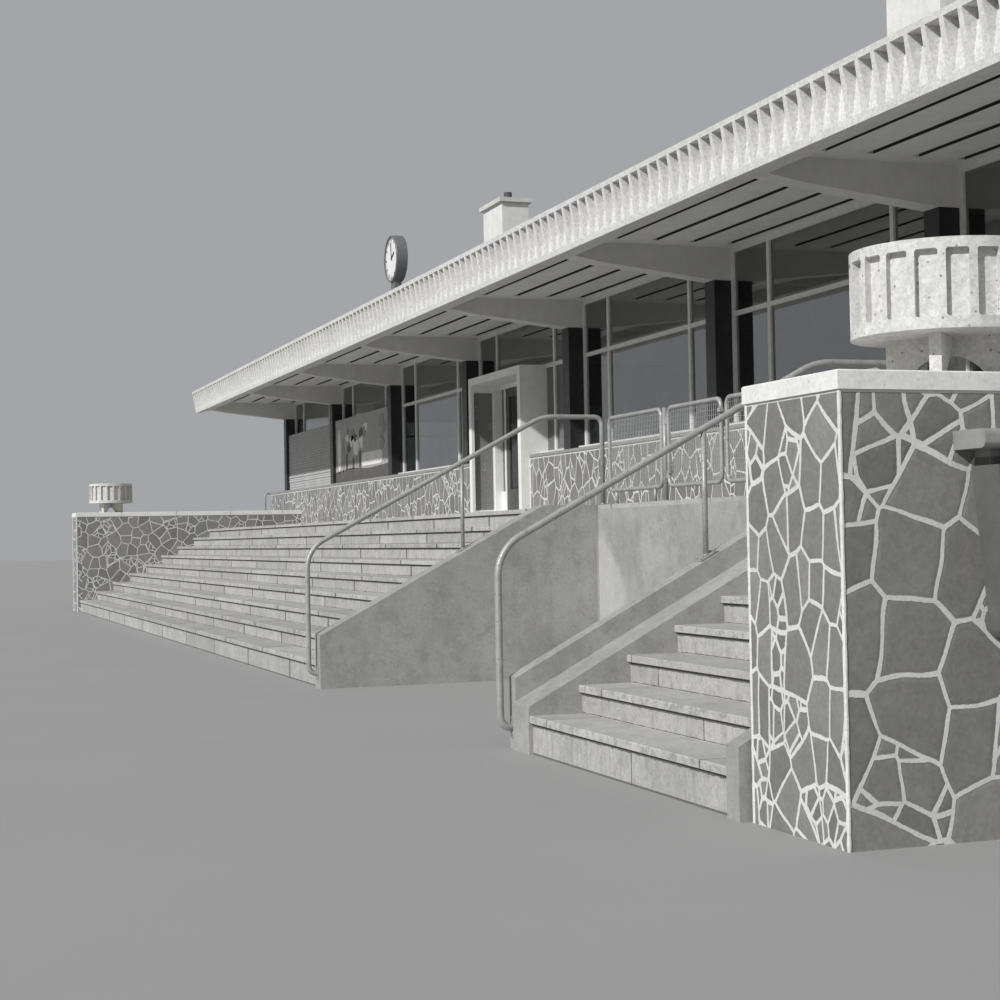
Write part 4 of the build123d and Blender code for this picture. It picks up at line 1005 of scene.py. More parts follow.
class Piece:
    """Collects mesh parts and turns them into one object on a body."""

    def __init__(self, name: str, finish: str, body: Body = Body.BUILDING) -> None:
        """Start an empty piece.

        Args:
            name: The object's name.
            finish: Name of its finish.
            body: The body that it rides on.
        """
        self.name = name
        self.finish = finish
        self.body = body
        self.mesh = bmesh.new()

    def box(self, low: Sequence[float], high: Sequence[float], bevel: float = 0.0) -> None:
        """Add a box between two corners, with its edges eased if asked.

        Args:
            low: The least corner.
            high: The greatest corner.
            bevel: Width of the eased edges, or 0.
        """
        centre = [(a + b) / 2 for a, b in zip(low, high)]
        size = [b - a for a, b in zip(low, high)]
        matrix = Matrix.Translation(centre) @ Matrix.Diagonal((*size, 1.0))
        made = bmesh.ops.create_cube(self.mesh, size=1.0, matrix=matrix)
        if bevel > 0.0:
            edges = list({edge for vert in made["verts"] for edge in vert.link_edges})
            bmesh.ops.bevel(self.mesh, geom=edges, offset=bevel, segments=2, affect="EDGES", profile=0.7)

    def block(self, centre: Vector, half: Sequence[float], bevel: float) -> None:
        """Add a box round a centre, given half its size."""
        self.box(centre - Vector(half), centre + Vector(half), bevel)

    def polygon(self, outline: Sequence[Vector], depth: Vector) -> None:
        """Add a prism from a flat outline to its far face, which lies off by a vector."""
        near = self.ring(Vector(), outline)
        self.skin([self.ring(depth, outline), near])

    def ring(self, centre: Vector, offsets: Iterable[Vector]) -> List[Vert]:
        """Add points round a centre and return them."""
        return [self.mesh.verts.new(centre + offset) for offset in offsets]

    def skin(self, rings: Sequence[List[Vert]], closed: bool = False, caps: bool = True) -> List[Face]:
        """Join rings of points by bands of faces.

        Args:
            rings: Rings of equal length in order.
            closed: Whether the last ring joins the first.
            caps: Whether both ends of an open row get a face.

        Returns:
            The new faces.
        """
        faces = []
        following = [*rings[1:], rings[0]] if closed else rings[1:]
        for one, two in zip(rings, following):
            for step, vert in enumerate(one):
                other = (step + 1) % len(one)
                faces.append(self.mesh.faces.new((vert, one[other], two[other], two[step])))
        if caps and not closed:
            faces += [self.mesh.faces.new(rings[0][::-1]), self.mesh.faces.new(rings[-1])]
        bmesh.ops.recalc_face_normals(self.mesh, faces=faces)
        return faces

    def tube(
        self, path: Sequence[Vector], radius: float, side: Vector, closed: bool = False, sides: int = 16
    ) -> None:
        """Sweep a round section along a flat path.

        Args:
            path: Points of the path in order.
            radius: Radius of the tube.
            side: Unit normal of the path's plane.
            closed: Whether the path returns to its start.
            sides: Number of sides of the section.
        """
        rings = []
        count = len(path)
        for index, point in enumerate(path):
            before = path[index - 1] if index or closed else None
            after = path[(index + 1) % count] if index < count - 1 or closed else None
            ahead = (after - point).normalized() if after is not None else (point - before).normalized()
            behind = (point - before).normalized() if before is not None else ahead
            tangent = (ahead + behind).normalized()
            across = side.cross(tangent).normalized() * (radius / max(0.3, tangent.dot(ahead)))
            turns = (math.tau * step / sides for step in range(sides))
            section = [side * (radius * math.cos(turn)) + across * math.sin(turn) for turn in turns]
            rings.append(self.ring(point, section))
        for face in self.skin(rings, closed):
            face.smooth = len(face.verts) == 4

    def rod(self, start: Vector, end: Vector, radius: float, side: Vector = ALONG_X, sides: int = 16) -> None:
        """Add a straight round bar."""
        self.tube([start, end], radius, side, sides=sides)

    def finished(self, wardrobe: Wardrobe, replaces: Sequence[str] = ()) -> bpy.types.Object:
        """Make the object, dress it and set it on its body.

        Args:
            wardrobe: The materials.
            replaces: CAD nodes that this piece stands for.

        Returns:
            The new object.
        """
        data = bpy.data.meshes.new(self.name)
        self.mesh.to_mesh(data)
        self.mesh.free()
        data.materials.append(wardrobe.by_name[self.finish])
        piece = bpy.data.objects.new(self.name, data)
        bpy.context.scene.collection.objects.link(piece)
        settle(piece, self.body, replaces)
        return piece


def settle(
    piece: bpy.types.Object, body: Body, replaces: Sequence[str] = ()
) -> None:
    """Args:
        piece: The finished object.
        body: The body that it rides on.
        replaces: CAD nodes that it stands for.
    """
    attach(piece, body.value)
    if replaces:
        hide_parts(*replaces)
    LOG.info("made %s with %d faces on %s", piece.name, len(piece.data.polygons), body.value)


def rounded_path(
    corners: Sequence[Vector], bends: Sequence[float], closed: bool = False, steps: int = 9
) -> List[Vector]:
    """Round the corners of a path.

    Args:
        corners: Corner points in order.
        bends: Bend radius of each rounded corner in order.
        closed: Whether the path returns to its start.
        steps: Number of steps in each bend.

    Returns:
        The points of the rounded path.
    """
    path: List[Vector] = []
    radii = iter(bends)
    count = len(corners)
    for index, corner in enumerate(corners):
        if not closed and index in (0, count - 1):
            path.append(corner.copy())
            continue
        bend = next(radii)
        to_before = (corners[index - 1] - corner).normalized()
        to_after = (corners[(index + 1) % count] - corner).normalized()
        half = to_before.angle(to_after) / 2.0
        reach = bend / math.tan(half)
        middle = corner + (to_before + to_after).normalized() * (bend / math.sin(half))
        start = (corner + to_before * reach - middle).normalized()
        end = (corner + to_after * reach - middle).normalized()
        path += [middle + start.slerp(end, step / steps) * bend for step in range(steps + 1)]
    return path


class GeometryTree(Graph):
    """One Geometry Nodes tree that is applied to points and kept as a plain mesh."""

    def __init__(self, name: str, sizes: Sequence[str], place: bool = False) -> None:
        """Make the tree with named inputs.

        Args:
            name: The tree's name.
            sizes: Names of the number inputs.
            place: Whether it also takes a corner as a vector.
        """
        super().__init__(bpy.data.node_groups.new(name, "GeometryNodeTree"))
        self.sockets: Dict[str, str] = {}
        inputs = [("Geometry", "NodeSocketGeometry"), *((size, FLOAT) for size in sizes)]
        inputs += [("Corner", VECTOR)] if place else []
        for label, kind in (*inputs, ("Material", MATERIAL)):
            socket = self.tree.interface.new_socket(name=label, in_out="INPUT", socket_type=kind)
            self.sockets[label] = socket.identifier
        self.tree.interface.new_socket(name="Geometry", in_out="OUTPUT", socket_type="NodeSocketGeometry")
        self.put = self.add("NodeGroupInput").outputs

    def made(self, kind: str, inputs: Dict[object, object], **settings: object) -> Socket:
        """Return the first output of a new node."""
        return self.add(kind, inputs, **settings).outputs[0]

    def copies(self, solid: Socket, points: Socket, turn: object = (0.0, 0.0, 0.0)) -> Socket:
        """Return the solid set on every point."""
        inputs = {"Points": points, "Instance": solid, "Rotation": turn}
        return self.made("GeometryNodeInstanceOnPoints", inputs)

    def joined(self, *parts: Socket) -> Socket:
        """Join several geometries.

        Args:
            *parts: The geometries.

        Returns:
            The joined geometry.
        """
        node = self.add("GeometryNodeJoinGeometry")
        for part in parts:
            self.feed(part, node.inputs[0])
        return node.outputs[0]

    def stud(self, radius: object, depth: object, sides: int = 6) -> Socket:
        """Return an upright stud with flat sides."""
        return self.made("GeometryNodeMeshCylinder", {"Vertices": sides, "Radius": radius, "Depth": depth})

    def block(self, size: object, place: object = (0.0, 0.0, 0.0)) -> Socket:
        """Return a block of a size moved to a place."""
        cube = self.made("GeometryNodeMeshCube", {"Size": size})
        return self.made("GeometryNodeTransform", {"Geometry": cube, "Translation": place})

    def stamped(self, solid: Socket, axis: str, pivot: str = "AUTO") -> "GeometryTree":
        """End the tree with the solid on every point, one axis of it turned to the point's facing.

        Args:
            solid: The geometry of one copy.
            axis: The axis that is turned.
            pivot: The axis that it turns about.

        Returns:
            This tree.
        """
        facing = self.made("GeometryNodeInputNamedAttribute", {"Name": "facing"}, data_type="FLOAT_VECTOR")
        turn = self.made("FunctionNodeAlignRotationToVector", {"Vector": facing}, axis=axis, pivot_axis=pivot)
        return self.ended(self.copies(solid, self.put["Geometry"], turn))

    def ended(self, geometry: Socket) -> "GeometryTree":
        """End the tree in Realize Instances and Set Material, and return it.

        Args:
            geometry: What the tree has made.

        Returns:
            This tree.
        """
        real = self.made("GeometryNodeRealizeInstances", {0: geometry})
        inputs = {"Geometry": real, "Material": self.put["Material"]}
        self.add("NodeGroupOutput", {0: self.made("GeometryNodeSetMaterial", inputs)})
        return self

    def grow(
        self,
        name: str,
        points: Sequence[Tuple[Vector, Vector]],
        values: Dict[str, object],
        finish: str,
        wardrobe: Wardrobe,
        body: Body = Body.BUILDING,
    ) -> bpy.types.Object:
        """Run the tree on points, keep the result as a plain mesh and set it on its body.

        Args:
            name: Name of the new object.
            points: Place and facing of each point.
            values: Input name to value.
            finish: Name of the piece's finish.
            wardrobe: The materials.
            body: The body that the piece rides on.

        Returns:
            The new object, with no modifier left on it.
        """
        seed = bpy.data.meshes.new(name + "_seed")
        seed.from_pydata([tuple(place) for place, _ in points], [], [])
        facing = seed.attributes.new("facing", "FLOAT_VECTOR", "POINT")
        for index, (_, way) in enumerate(points):
            facing.data[index].vector = way
        piece = bpy.data.objects.new(name, seed)
        bpy.context.scene.collection.objects.link(piece)
        modifier = piece.modifiers.new(name, "NODES")
        modifier.node_group = self.tree
        for label, value in {**values, "Material": wardrobe.by_name[finish]}.items():
            modifier[self.sockets[label]] = value
        graph = bpy.context.evaluated_depsgraph_get()
        graph.update()
        plain = bpy.data.meshes.new_from_object(piece.evaluated_get(graph), depsgraph=graph)
        piece.modifiers.clear()
        piece.data = plain
        plain.name = name
        settle(piece, body)
        return piece


@dataclass
class Bolts:
    """Hexagon bolt heads, gathered from every plate and laid by Geometry Nodes."""

    radius: float = 0.0085
    height: float = 0.006

    def __post_init__(self) -> None:
        """Start the list of places and ways."""
        self.places: List[Tuple[Vector, Vector]] = []

    def plate(self, centre: Vector, turn: Matrix, half: Span) -> None:
        """Note four bolts near the corners of a plate.

        Args:
            centre: Middle of the plate's upper face.
            turn: How the plate is turned.
            half: Distance of the bolts from the middle in both ways.
        """
        for across in (-1, 1):
            for along in (-1, 1):
                offset = turn @ Vector((across * half[0], along * half[1], self.height / 2))
                self.places.append((centre + offset, turn.to_3x3() @ UP))

    def build(self, wardrobe: Wardrobe) -> None:
        """Set a head on every noted place.

        Args:
            wardrobe: The materials.
        """
        tree = GeometryTree("bolt_heads", ("Radius", "Height"))
        tree.stamped(tree.stud(tree.put["Radius"], tree.put["Height"]), "Z")
        values = {"Radius": self.radius, "Height": self.height}
        tree.grow("bolt_heads", self.places, values, "bolt_zinc", wardrobe)


@dataclass
class WireLattice:
    """Woven wire panels of the fixed screens and the gate leaves."""

    pitch_across: float = 0.0365
    pitch_up: float = 0.0445
    wire: float = 0.0020
    weave: float = 0.0016
    heights: Span = GATE_HEIGHTS
    plane: float = GATE_PLANE

    def __post_init__(self) -> None:
        """Make the tree that lays upright and level wires across a panel."""
        sizes = ("Width", "Height", "Across pitch", "Up pitch", "Wire radius", "Weave")
        self.tree = g = GeometryTree("wire_lattice", sizes, place=True)
        put = g.put
        first = g.join(put["Across pitch"], put["Weave"], g.times(put["Height"], 0.5))
        upright = self._wires(("Width", "Across pitch", "Height"), first, 0)
        first = g.join(g.times(put["Width"], 0.5), g.times(put["Weave"], -1.0), put["Up pitch"])
        level = self._wires(("Height", "Up pitch", "Width"), first, 2)
        inputs = {"Geometry": g.joined(upright, level), "Translation": put["Corner"]}
        g.ended(g.made("GeometryNodeTransform", inputs))

    def _wires(self, labels: Tuple[str, str, str], first: Socket, axis: int) -> Socket:
        """Return a row of straight wires.

        Args:
            labels: Inputs that hold the row's extent, its spacing and the length of a wire.
            first: Middle of the first wire.
            axis: Axis along which the wires follow each other.

        Returns:
            The instanced wires.
        """
        g, put = self.tree, self.tree.put
        run, pitch, length = (put[label] for label in labels)
        count = g.math("FLOOR", g.over(run, pitch))
        wire = g.stud(put["Wire radius"], length, 5)
        step = g.join(*(pitch if index == axis else 0.0 for index in range(3)))
        inputs = {"Count": count, "Start Location": first, "Offset": step}
        line = g.made("GeometryNodeMeshLine", inputs, mode="OFFSET")
        return g.copies(wire, line, (0.0, math.pi / 2 if axis == 2 else 0.0, 0.0))

    def build(self, name: str, span: Span, body: Body, wardrobe: Wardrobe) -> None:
        """Lay the wires of one panel.

        Args:
            name: Name of the piece.
            span: Left and right tube lines of the panel.
            body: The body that carries it.
            wardrobe: The materials.
        """
        values = {
            "Width": span[1] - span[0],
            "Height": self.heights[1] - self.heights[0],
            "Across pitch": self.pitch_across,
            "Up pitch": self.pitch_up,
            "Wire radius": self.wire,
            "Weave": self.weave,
            "Corner": on_site(span[0], self.plane, self.heights[0]),
        }
        self.tree.grow(name, [], values, "wire_zinc", wardrobe, body)


@dataclass
class StairRails:
    """Two bent stair rails on the cheek walls."""

    tube: float = 0.024
    post_tube: float = 0.019
    bends: Tuple[float, float, float, float] = (0.075, 0.300, 0.500, 0.075)
    planes: Span = (-0.100, 5.1975)
    fronts: Tuple[Span, Span] = ((0.0, 0.505), (0.035, 0.473))
    pitch: float = RISE / GOING
    offset: float = 0.086
    foot: float = 0.14
    knee: float = 1.30
    height: float = 2.56
    flat_run: float = 0.63
    post_place: float = 1.45
    plate: Point = (0.1125, 0.15, 0.008)
    plate_bolts: Span = (0.018, 0.02)
    collar: Span = (0.026, 0.012)
    wall_plate: Point = (0.03, 0.008, 0.07)
    wall_bolts: Span = (0.011, 0.052)
    slope_lift: float = 0.005

    def build(self, wardrobe: Wardrobe, bolts: Bolts) -> None:
        """Make both rails with their posts and plates.

        Args:
            wardrobe: The materials.
            bolts: Takes the bolts of the plates.
        """
        rails = Piece("round_stair_rails", "rail_paint")
        for x, front in zip(self.planes, self.fronts):
            self._rail(rails, bolts, x, front)
        rails.finished(wardrobe, ["stair_handrails"])

    def _rail(self, piece: Piece, bolts: Bolts, x: float, front: Span) -> None:
        """Add one rail.

        Args:
            piece: The piece that takes the rail.
            bolts: Takes the bolts of the plates.
            x: The rail's plane.
            front: Front and top of the cheek wall's low end.
        """
        start = front[0] - self.offset
        flat = start + (self.height - self.knee) / self.pitch
        end = flat + self.flat_run
        corners = [(front[0], self.foot), (start, self.foot), (start, self.knee), (flat, self.height)]
        corners += [(end, self.height), (end, TERRACE)]
        piece.tube(rounded_path([on_site(x, y, z) for y, z in corners], self.bends), self.tube, ALONG_X)
        low = front[1] + self.pitch * (self.post_place - front[0])
        high = self.knee + self.pitch * (self.post_place - start)
        piece.rod(on_site(x, self.post_place, low - 0.01), on_site(x, self.post_place, high), self.post_tube)
        slope = Matrix.Rotation(math.atan(self.pitch), 4, "X")
        self._plate(piece, bolts, on_site(x, self.post_place, low + self.slope_lift), slope)
        self._plate(piece, bolts, on_site(x, end, TERRACE + self.plate[2] / 2), Matrix())
        hook = on_site(x, front[0], self.foot)
        wide, deep, tall = self.wall_plate
        piece.box(hook - Vector((wide, deep, tall)), hook + Vector((wide, 0.0, tall)), 0.002)
        reach, rise = self.wall_bolts
        bolts.places += [(hook + Vector((0.0, -reach, sign * rise)), -ALONG_Y) for sign in (-1, 1)]

    def _plate(self, piece: Piece, bolts: Bolts, centre: Vector, turn: Matrix) -> None:
        """Add a foot plate with a weld collar, tilted with what it stands on.

        Args:
            piece: The piece that takes the shape.
            bolts: Takes the bolts of the plates.
            centre: Middle of the shape.
            turn: How the plate is turned.
        """
        first = len(piece.mesh.verts)
        half = [size / 2 for size in self.plate]
        top = UP * half[2]
        piece.block(Vector(), half, 0.0015)
        piece.rod(top, top + UP * self.collar[1], self.collar[0])
        piece.mesh.verts.ensure_lookup_table()
        place = Matrix.Translation(centre) @ turn
        bmesh.ops.transform(piece.mesh, matrix=place, verts=piece.mesh.verts[first:])
        reach = (half[0] - self.plate_bolts[0], half[1] - self.plate_bolts[1])
        bolts.plate(centre + turn @ top, turn, reach)


@dataclass
class SideRails:
    """Wall rails beside both ends of the building."""

    plane: float = 18.8675
    wall_gap: float = 0.08
    run: Span = (4.64, 7.30)
    height: float = 2.53
    tube: float = 0.021
    post_tube: float = 0.017
    bend: float = 0.07
    bracket_place: float = 4.944
    bracket_tube: float = 0.010
    bracket_drop: float = 0.08

    def build(self, wardrobe: Wardrobe) -> None:
        """Make the rail of each end with its middle post and wall bracket.

        Args:
            wardrobe: The materials.
        """
        rails = Piece("round_side_rails", "rail_paint")
        near, far = (y + SITE_SHIFT.y for y in self.run)
        bracket = self.bracket_place + SITE_SHIFT.y
        for sign in (-1.0, 1.0):
            x = sign * self.plane
            corners = ((near, 0.0), (near, self.height), (far, self.height), (far, 0.0))
            path = rounded_path([Vector((x, y, z)) for y, z in corners], (self.bend, self.bend))
            rails.tube(path, self.tube, ALONG_X)
            middle = (near + far) / 2
            rails.rod(Vector((x, middle, 0.0)), Vector((x, middle, self.height)), self.post_tube, sides=12)
            top = Vector((x, bracket, self.height))
            rails.rod(top - UP * (self.bracket_drop + self.bracket_tube), top, self.bracket_tube, sides=10)
            arm = top - UP * self.bracket_drop
            wall = arm - ALONG_X * (sign * self.wall_gap)
            rails.rod(arm, wall, self.bracket_tube, ALONG_Y, sides=10)
        rails.finished(wardrobe, ["side_handrails"])


@dataclass
class GateLock:
    """Lock case, latch plate and padlock of the left gate leaf."""

    plane: float = GATE_PLANE
    height: float = 2.415
    case: Tuple[Point, Point] = ((-0.01, -0.03, 0.0), (0.034, 0.01, 0.035))
    latch_inset: float = 0.029
    latch_height: float = 1.985
    latch_half: Point = (0.017, 0.024, 0.055)
    hang: Point = (0.012, -0.012, -0.016)
    padlock: Tuple[Point, Point] = ((-0.017, -0.007, -0.018), (0.017, 0.007, 0.006))
    shackle: Tuple[Span, ...] = ((-0.010, 0.0), (-0.010, 0.026), (0.010, 0.026), (0.010, 0.0))
    shackle_bend: float = 0.009
    shackle_tube: float = 0.003
    ease: float = 0.003

    def build(self, leaf: Piece, span: Span, wardrobe: Wardrobe) -> None:
        """Add the case and the latch to the leaf, and hang the padlock.

        Args:
            leaf: The leaf's frame.
            span: Left and right tube lines of the leaf.
            wardrobe: The materials.
        """
        free = on_site(span[1], self.plane, self.height)
        leaf.box(*(free + Vector(corner) for corner in self.case), self.ease)
        latch = on_site(span[0] + self.latch_inset, self.plane, self.latch_height)
        leaf.block(latch, self.latch_half, self.ease)
        padlock = Piece("gate_padlock", "brass_lock", Body.LEFT_GATE)
        middle = free + Vector(self.hang)
        padlock.box(*(middle + Vector(corner) for corner in self.padlock), self.ease)
        loop = [middle + Vector((x, 0.0, z)) for x, z in self.shackle]
        bends = (self.shackle_bend, self.shackle_bend)
        padlock.tube(rounded_path(loop, bends, steps=6), self.shackle_tube, ALONG_Y, sides=8)
        padlock.finished(wardrobe)


@dataclass
class GateWork:
    """Fixed screens, gate posts and both gate leaves."""

    screens: Tuple[Span, Span] = ((0.105, 1.325), (3.865, 5.080))
    leaves: Tuple[Span, Span] = ((1.480, 2.540), (2.650, 3.710))
    posts: Span = (1.398, 3.792)
    hinge_heights: Span = (1.93, 2.422)
    plane: float = GATE_PLANE
    heights: Span = GATE_HEIGHTS
    tube: float = 0.020
    bend: float = 0.07
    post_tube: float = 0.022
    post_plate: Point = (0.075, 0.045, 0.008)
    post_bolts: Span = (0.057, 0.028)
    pin: float = 0.006
    pin_offset: float = 0.042
    lug: Point = (0.054, 0.01, 0.014)
    eye: Span = (0.012, 0.0063)
    eye_half: float = 0.022
    screen_foot: float = 0.16
    foot_tube: float = 0.016
    foot_disc: Span = (0.034, 0.005)
    cap: float = 0.004
    pin_ends: Span = (-0.002, 0.05)
    running_gap: float = 0.0003
    tongue: Span = (0.008, 0.005)

    def build(self, wardrobe: Wardrobe, bolts: Bolts) -> None:
        """Make the screens, the posts, both leaves and their wires.

        Args:
            wardrobe: The materials.
            bolts: Takes the bolts of the plates.
        """
        frames = Piece("round_screens", "rail_paint")
        for span in self.screens:
            self._ring(frames, span)
            for x in (span[0] + self.screen_foot, span[1] - self.screen_foot):
                self._upright(frames, x, (TERRACE, self.heights[0]), self.foot_tube, 12)
                disc, thick = self.foot_disc
                self._upright(frames, x, (TERRACE, TERRACE + thick), disc, 20)
        frames.finished(wardrobe, ["mesh_screens"])
        self._posts(wardrobe, bolts)
        self._leaf("gate_left", self.leaves[0], self.posts[0], Body.LEFT_GATE, wardrobe)
        self._leaf("gate_right", self.leaves[1], self.posts[1], Body.RIGHT_GATE, wardrobe)
        lattice = WireLattice()
        for name, span, body in (
            ("screen_wires_left", self.screens[0], Body.BUILDING),
            ("screen_wires_right", self.screens[1], Body.BUILDING),
            ("gate_wires_left", self.leaves[0], Body.LEFT_GATE),
            ("gate_wires_right", self.leaves[1], Body.RIGHT_GATE),
        ):
            lattice.build(name, span, body, wardrobe)

    def _ring(self, piece: Piece, span: Span) -> None:
        """Add one closed tube frame in the gate plane.

        Args:
            piece: The piece that takes the shape.
            span: Left and right tube lines.
        """
        (left, right), (low, high) = span, self.heights
        corners = ((left, low), (right, low), (right, high), (left, high))
        points = [on_site(x, self.plane, z) for x, z in corners]
        piece.tube(rounded_path(points, (self.bend,) * 4, closed=True), self.tube, ALONG_Y, closed=True)

    def _upright(self, piece: Piece, x: float, span: Span, radius: float, sides: int = 16) -> None:
        """Add an upright round bar in the gate plane."""
        piece.rod(on_site(x, self.plane, span[0]), on_site(x, self.plane, span[1]), radius, sides=sides)

    def _posts(self, wardrobe: Wardrobe, bolts: Bolts) -> None:
        """Make the gate posts with plates, lugs and hinge pins.

        Args:
            wardrobe: The materials.
            bolts: Takes the bolts of the plates.
        """
        posts = Piece("round_gate_posts", "rail_paint")
        head = self.heights[1] + self.cap
        wide, deep, thick = self.post_plate
        reach, half, tall = self.lug
        for x, direction in zip(self.posts, (1, -1)):
            self._upright(posts, x, (TERRACE, head), self.post_tube)
            self._upright(posts, x, (head, head + self.cap), self.post_tube - self.cap)
            foot = on_site(x, self.plane, TERRACE)
            posts.box(foot - Vector((wide, deep, 0.0)), foot + Vector(self.post_plate), 0.0015)
            bolts.plate(foot + UP * thick, Matrix(), self.post_bolts)
            for z in self.hinge_heights:
                top = z - self.eye_half - self.running_gap
                left, right = sorted((x, x + direction * reach))
                low = on_site(left, self.plane - half, top - tall)
                posts.box(low, on_site(right, self.plane + half, top), 0.001)
                pin = x + direction * self.pin_offset
                start, end = (top + rise for rise in self.pin_ends)
                self._upright(posts, pin, (start, end), self.pin, 12)
        posts.finished(wardrobe, ["gate_posts"])

    def _leaf(self, node: str, span: Span, post: float, body: Body, wardrobe: Wardrobe) -> None:
        """Make one leaf: tube frame, hinge eyes and, on the left leaf, lock and latch.

        Args:
            node: The CAD node that the leaf stands for.
            span: Left and right tube lines of the leaf.
            post: Place of the post that it hangs on.
            body: The body of the leaf.
            wardrobe: The materials.
        """
        leaf = Piece("round_" + node, "rail_paint", body)
        self._ring(leaf, span)
        hung_left = post < span[0]
        near, direction = (span[0], 1) if hung_left else (span[1], -1)
        pin = post + direction * self.pin_offset
        start, half = self.tongue
        for z in self.hinge_heights:
            left, right = sorted((pin + direction * start, near))
            low = on_site(left, self.plane - half, z - self.eye_half)
            leaf.box(low, on_site(right, self.plane + half, z + self.eye_half))
            self._eye(leaf, on_site(pin, self.plane, z))
        if hung_left:
            GateLock().build(leaf, span, wardrobe)
        leaf.finished(wardrobe, [node])

    def _eye(self, piece: Piece, centre: Vector, sides: int = 20) -> None:
        """Add a hinge eye: a short upright tube with a wall.

        Args:
            piece: The piece that takes the shape.
            centre: Middle of the shape.
            sides: Number of sides.
        """
        (outer, inner), half = self.eye, self.eye_half
        turns = [math.tau * step / sides for step in range(sides)]
        rings = []
        for radius, z in ((outer, -half), (outer, half), (inner, half), (inner, -half)):
            rings.append(piece.ring(centre, [round_offset(radius, angle, z) for angle in turns]))
        piece.skin(rings, closed=True)


@dataclass
class Planters:
    """Soil in the two round tubs."""

    radius: float = 0.3712
    level: float = 2.60
    thickness: float = 0.06
    rings: int = 9
    sides: int = 40
    lumps: Span = (-0.010, 0.014)
    crown: float = 0.02
    rim: float = -0.01
    places: Tuple[Span, Span] = ((-21.89, 0.740), (8.9335, 0.900))

    def build(self, wardrobe: Wardrobe) -> None:
        """Make a lumpy bed of soil in each tub.

        Args:
            wardrobe: The materials.
        """
        draw = random.Random(7)
        beds = Piece("tub_soil", "planting_soil")
        for x, y in self.places:
            self._bed(beds, on_site(x, y, self.level), draw)
        beds.finished(wardrobe)

    def _bed(self, piece: Piece, centre: Vector, draw: random.Random) -> None:
        """Add one closed bed: lumpy on top, flat underneath.

        Args:
            piece: The piece that takes the shape.
            centre: Middle of the shape.
            draw: Source of the random draws.
        """
        tip = piece.mesh.verts.new(centre + UP * self.crown)
        turns = [math.tau * step / self.sides for step in range(self.sides)]
        rings = []
        for number in range(1, self.rings + 1):
            reach = self.radius * number / self.rings
            rises = [draw.uniform(*self.lumps) if number < self.rings else self.rim for _ in turns]
            rings.append(piece.ring(centre, [round_offset(reach, a, z) for a, z in zip(turns, rises)]))
        low = centre.z - self.thickness
        base = [piece.mesh.verts.new((vert.co.x, vert.co.y, low)) for vert in rings[-1]]
        faces = [piece.mesh.faces.new(base)]
        for one, two in zip(rings[0], [*rings[0][1:], rings[0][0]]):
            faces.append(piece.mesh.faces.new((tip, one, two)))
        faces += piece.skin([*rings, base], caps=False)
        bmesh.ops.recalc_face_normals(piece.mesh, faces=faces)


@dataclass
class SlotShadeLiners:
    """Black channels of painted shade that line the long slots of the soffit, laid by Geometry Nodes."""

    first: float = 3.537
    pitch: float = 0.447
    rows: int = 4
    length: float = 3.615
    width: float = 0.070
    heights: Span = (4.530, 4.580)
    wall: float = 0.002

    def _tree(self) -> GeometryTree:
        """Make the tree that sets a roof and two sides in every slot.

        Returns:
            The finished tree.
        """
        g = GeometryTree("slot_liners", ("Length", "Width", "Height", "Wall"))
        length, width, height, wall = (g.put[label] for label in ("Length", "Width", "Height", "Wall"))
        reach = g.times(g.minus(width, wall), 0.5)
        side = g.join(length, wall, height)
        near = g.block(side, g.join(0.0, g.times(reach, -1.0)))
        far = g.block(side, g.join(0.0, reach))
        rise = g.times(g.minus(height, wall), 0.5)
        top = g.block(g.join(length, g.affine(wall, -2.0, width), wall), g.join(0.0, 0.0, rise))
        return g.ended(g.copies(g.joined(near, far, top), g.put["Geometry"]))

    def build(self, wardrobe: Wardrobe) -> None:
        """Line every slot of both soffits with painted shade.

        Args:
            wardrobe: The materials.
        """
        rows = [self.first + self.pitch * row for row in range(self.rows)]
        rows += [2 * HALL_MIDDLE - y for y in rows]
        low, high = self.heights
        middles = [FIRST_BAY + BAY_PITCH * bay + BAY_LENGTH / 2 for bay in range(BAY_COUNT)]
        points = [(on_site(x, y, (low + high) / 2), UP) for x in middles for y in rows]
        values = {"Length": self.length, "Width": self.width, "Height": high - low, "Wall": self.wall}
        # Painted shade: black liners stand for the shade inside every slot.
        self._tree().grow("slot_liners", points, values, "slot_painted_shade", wardrobe)


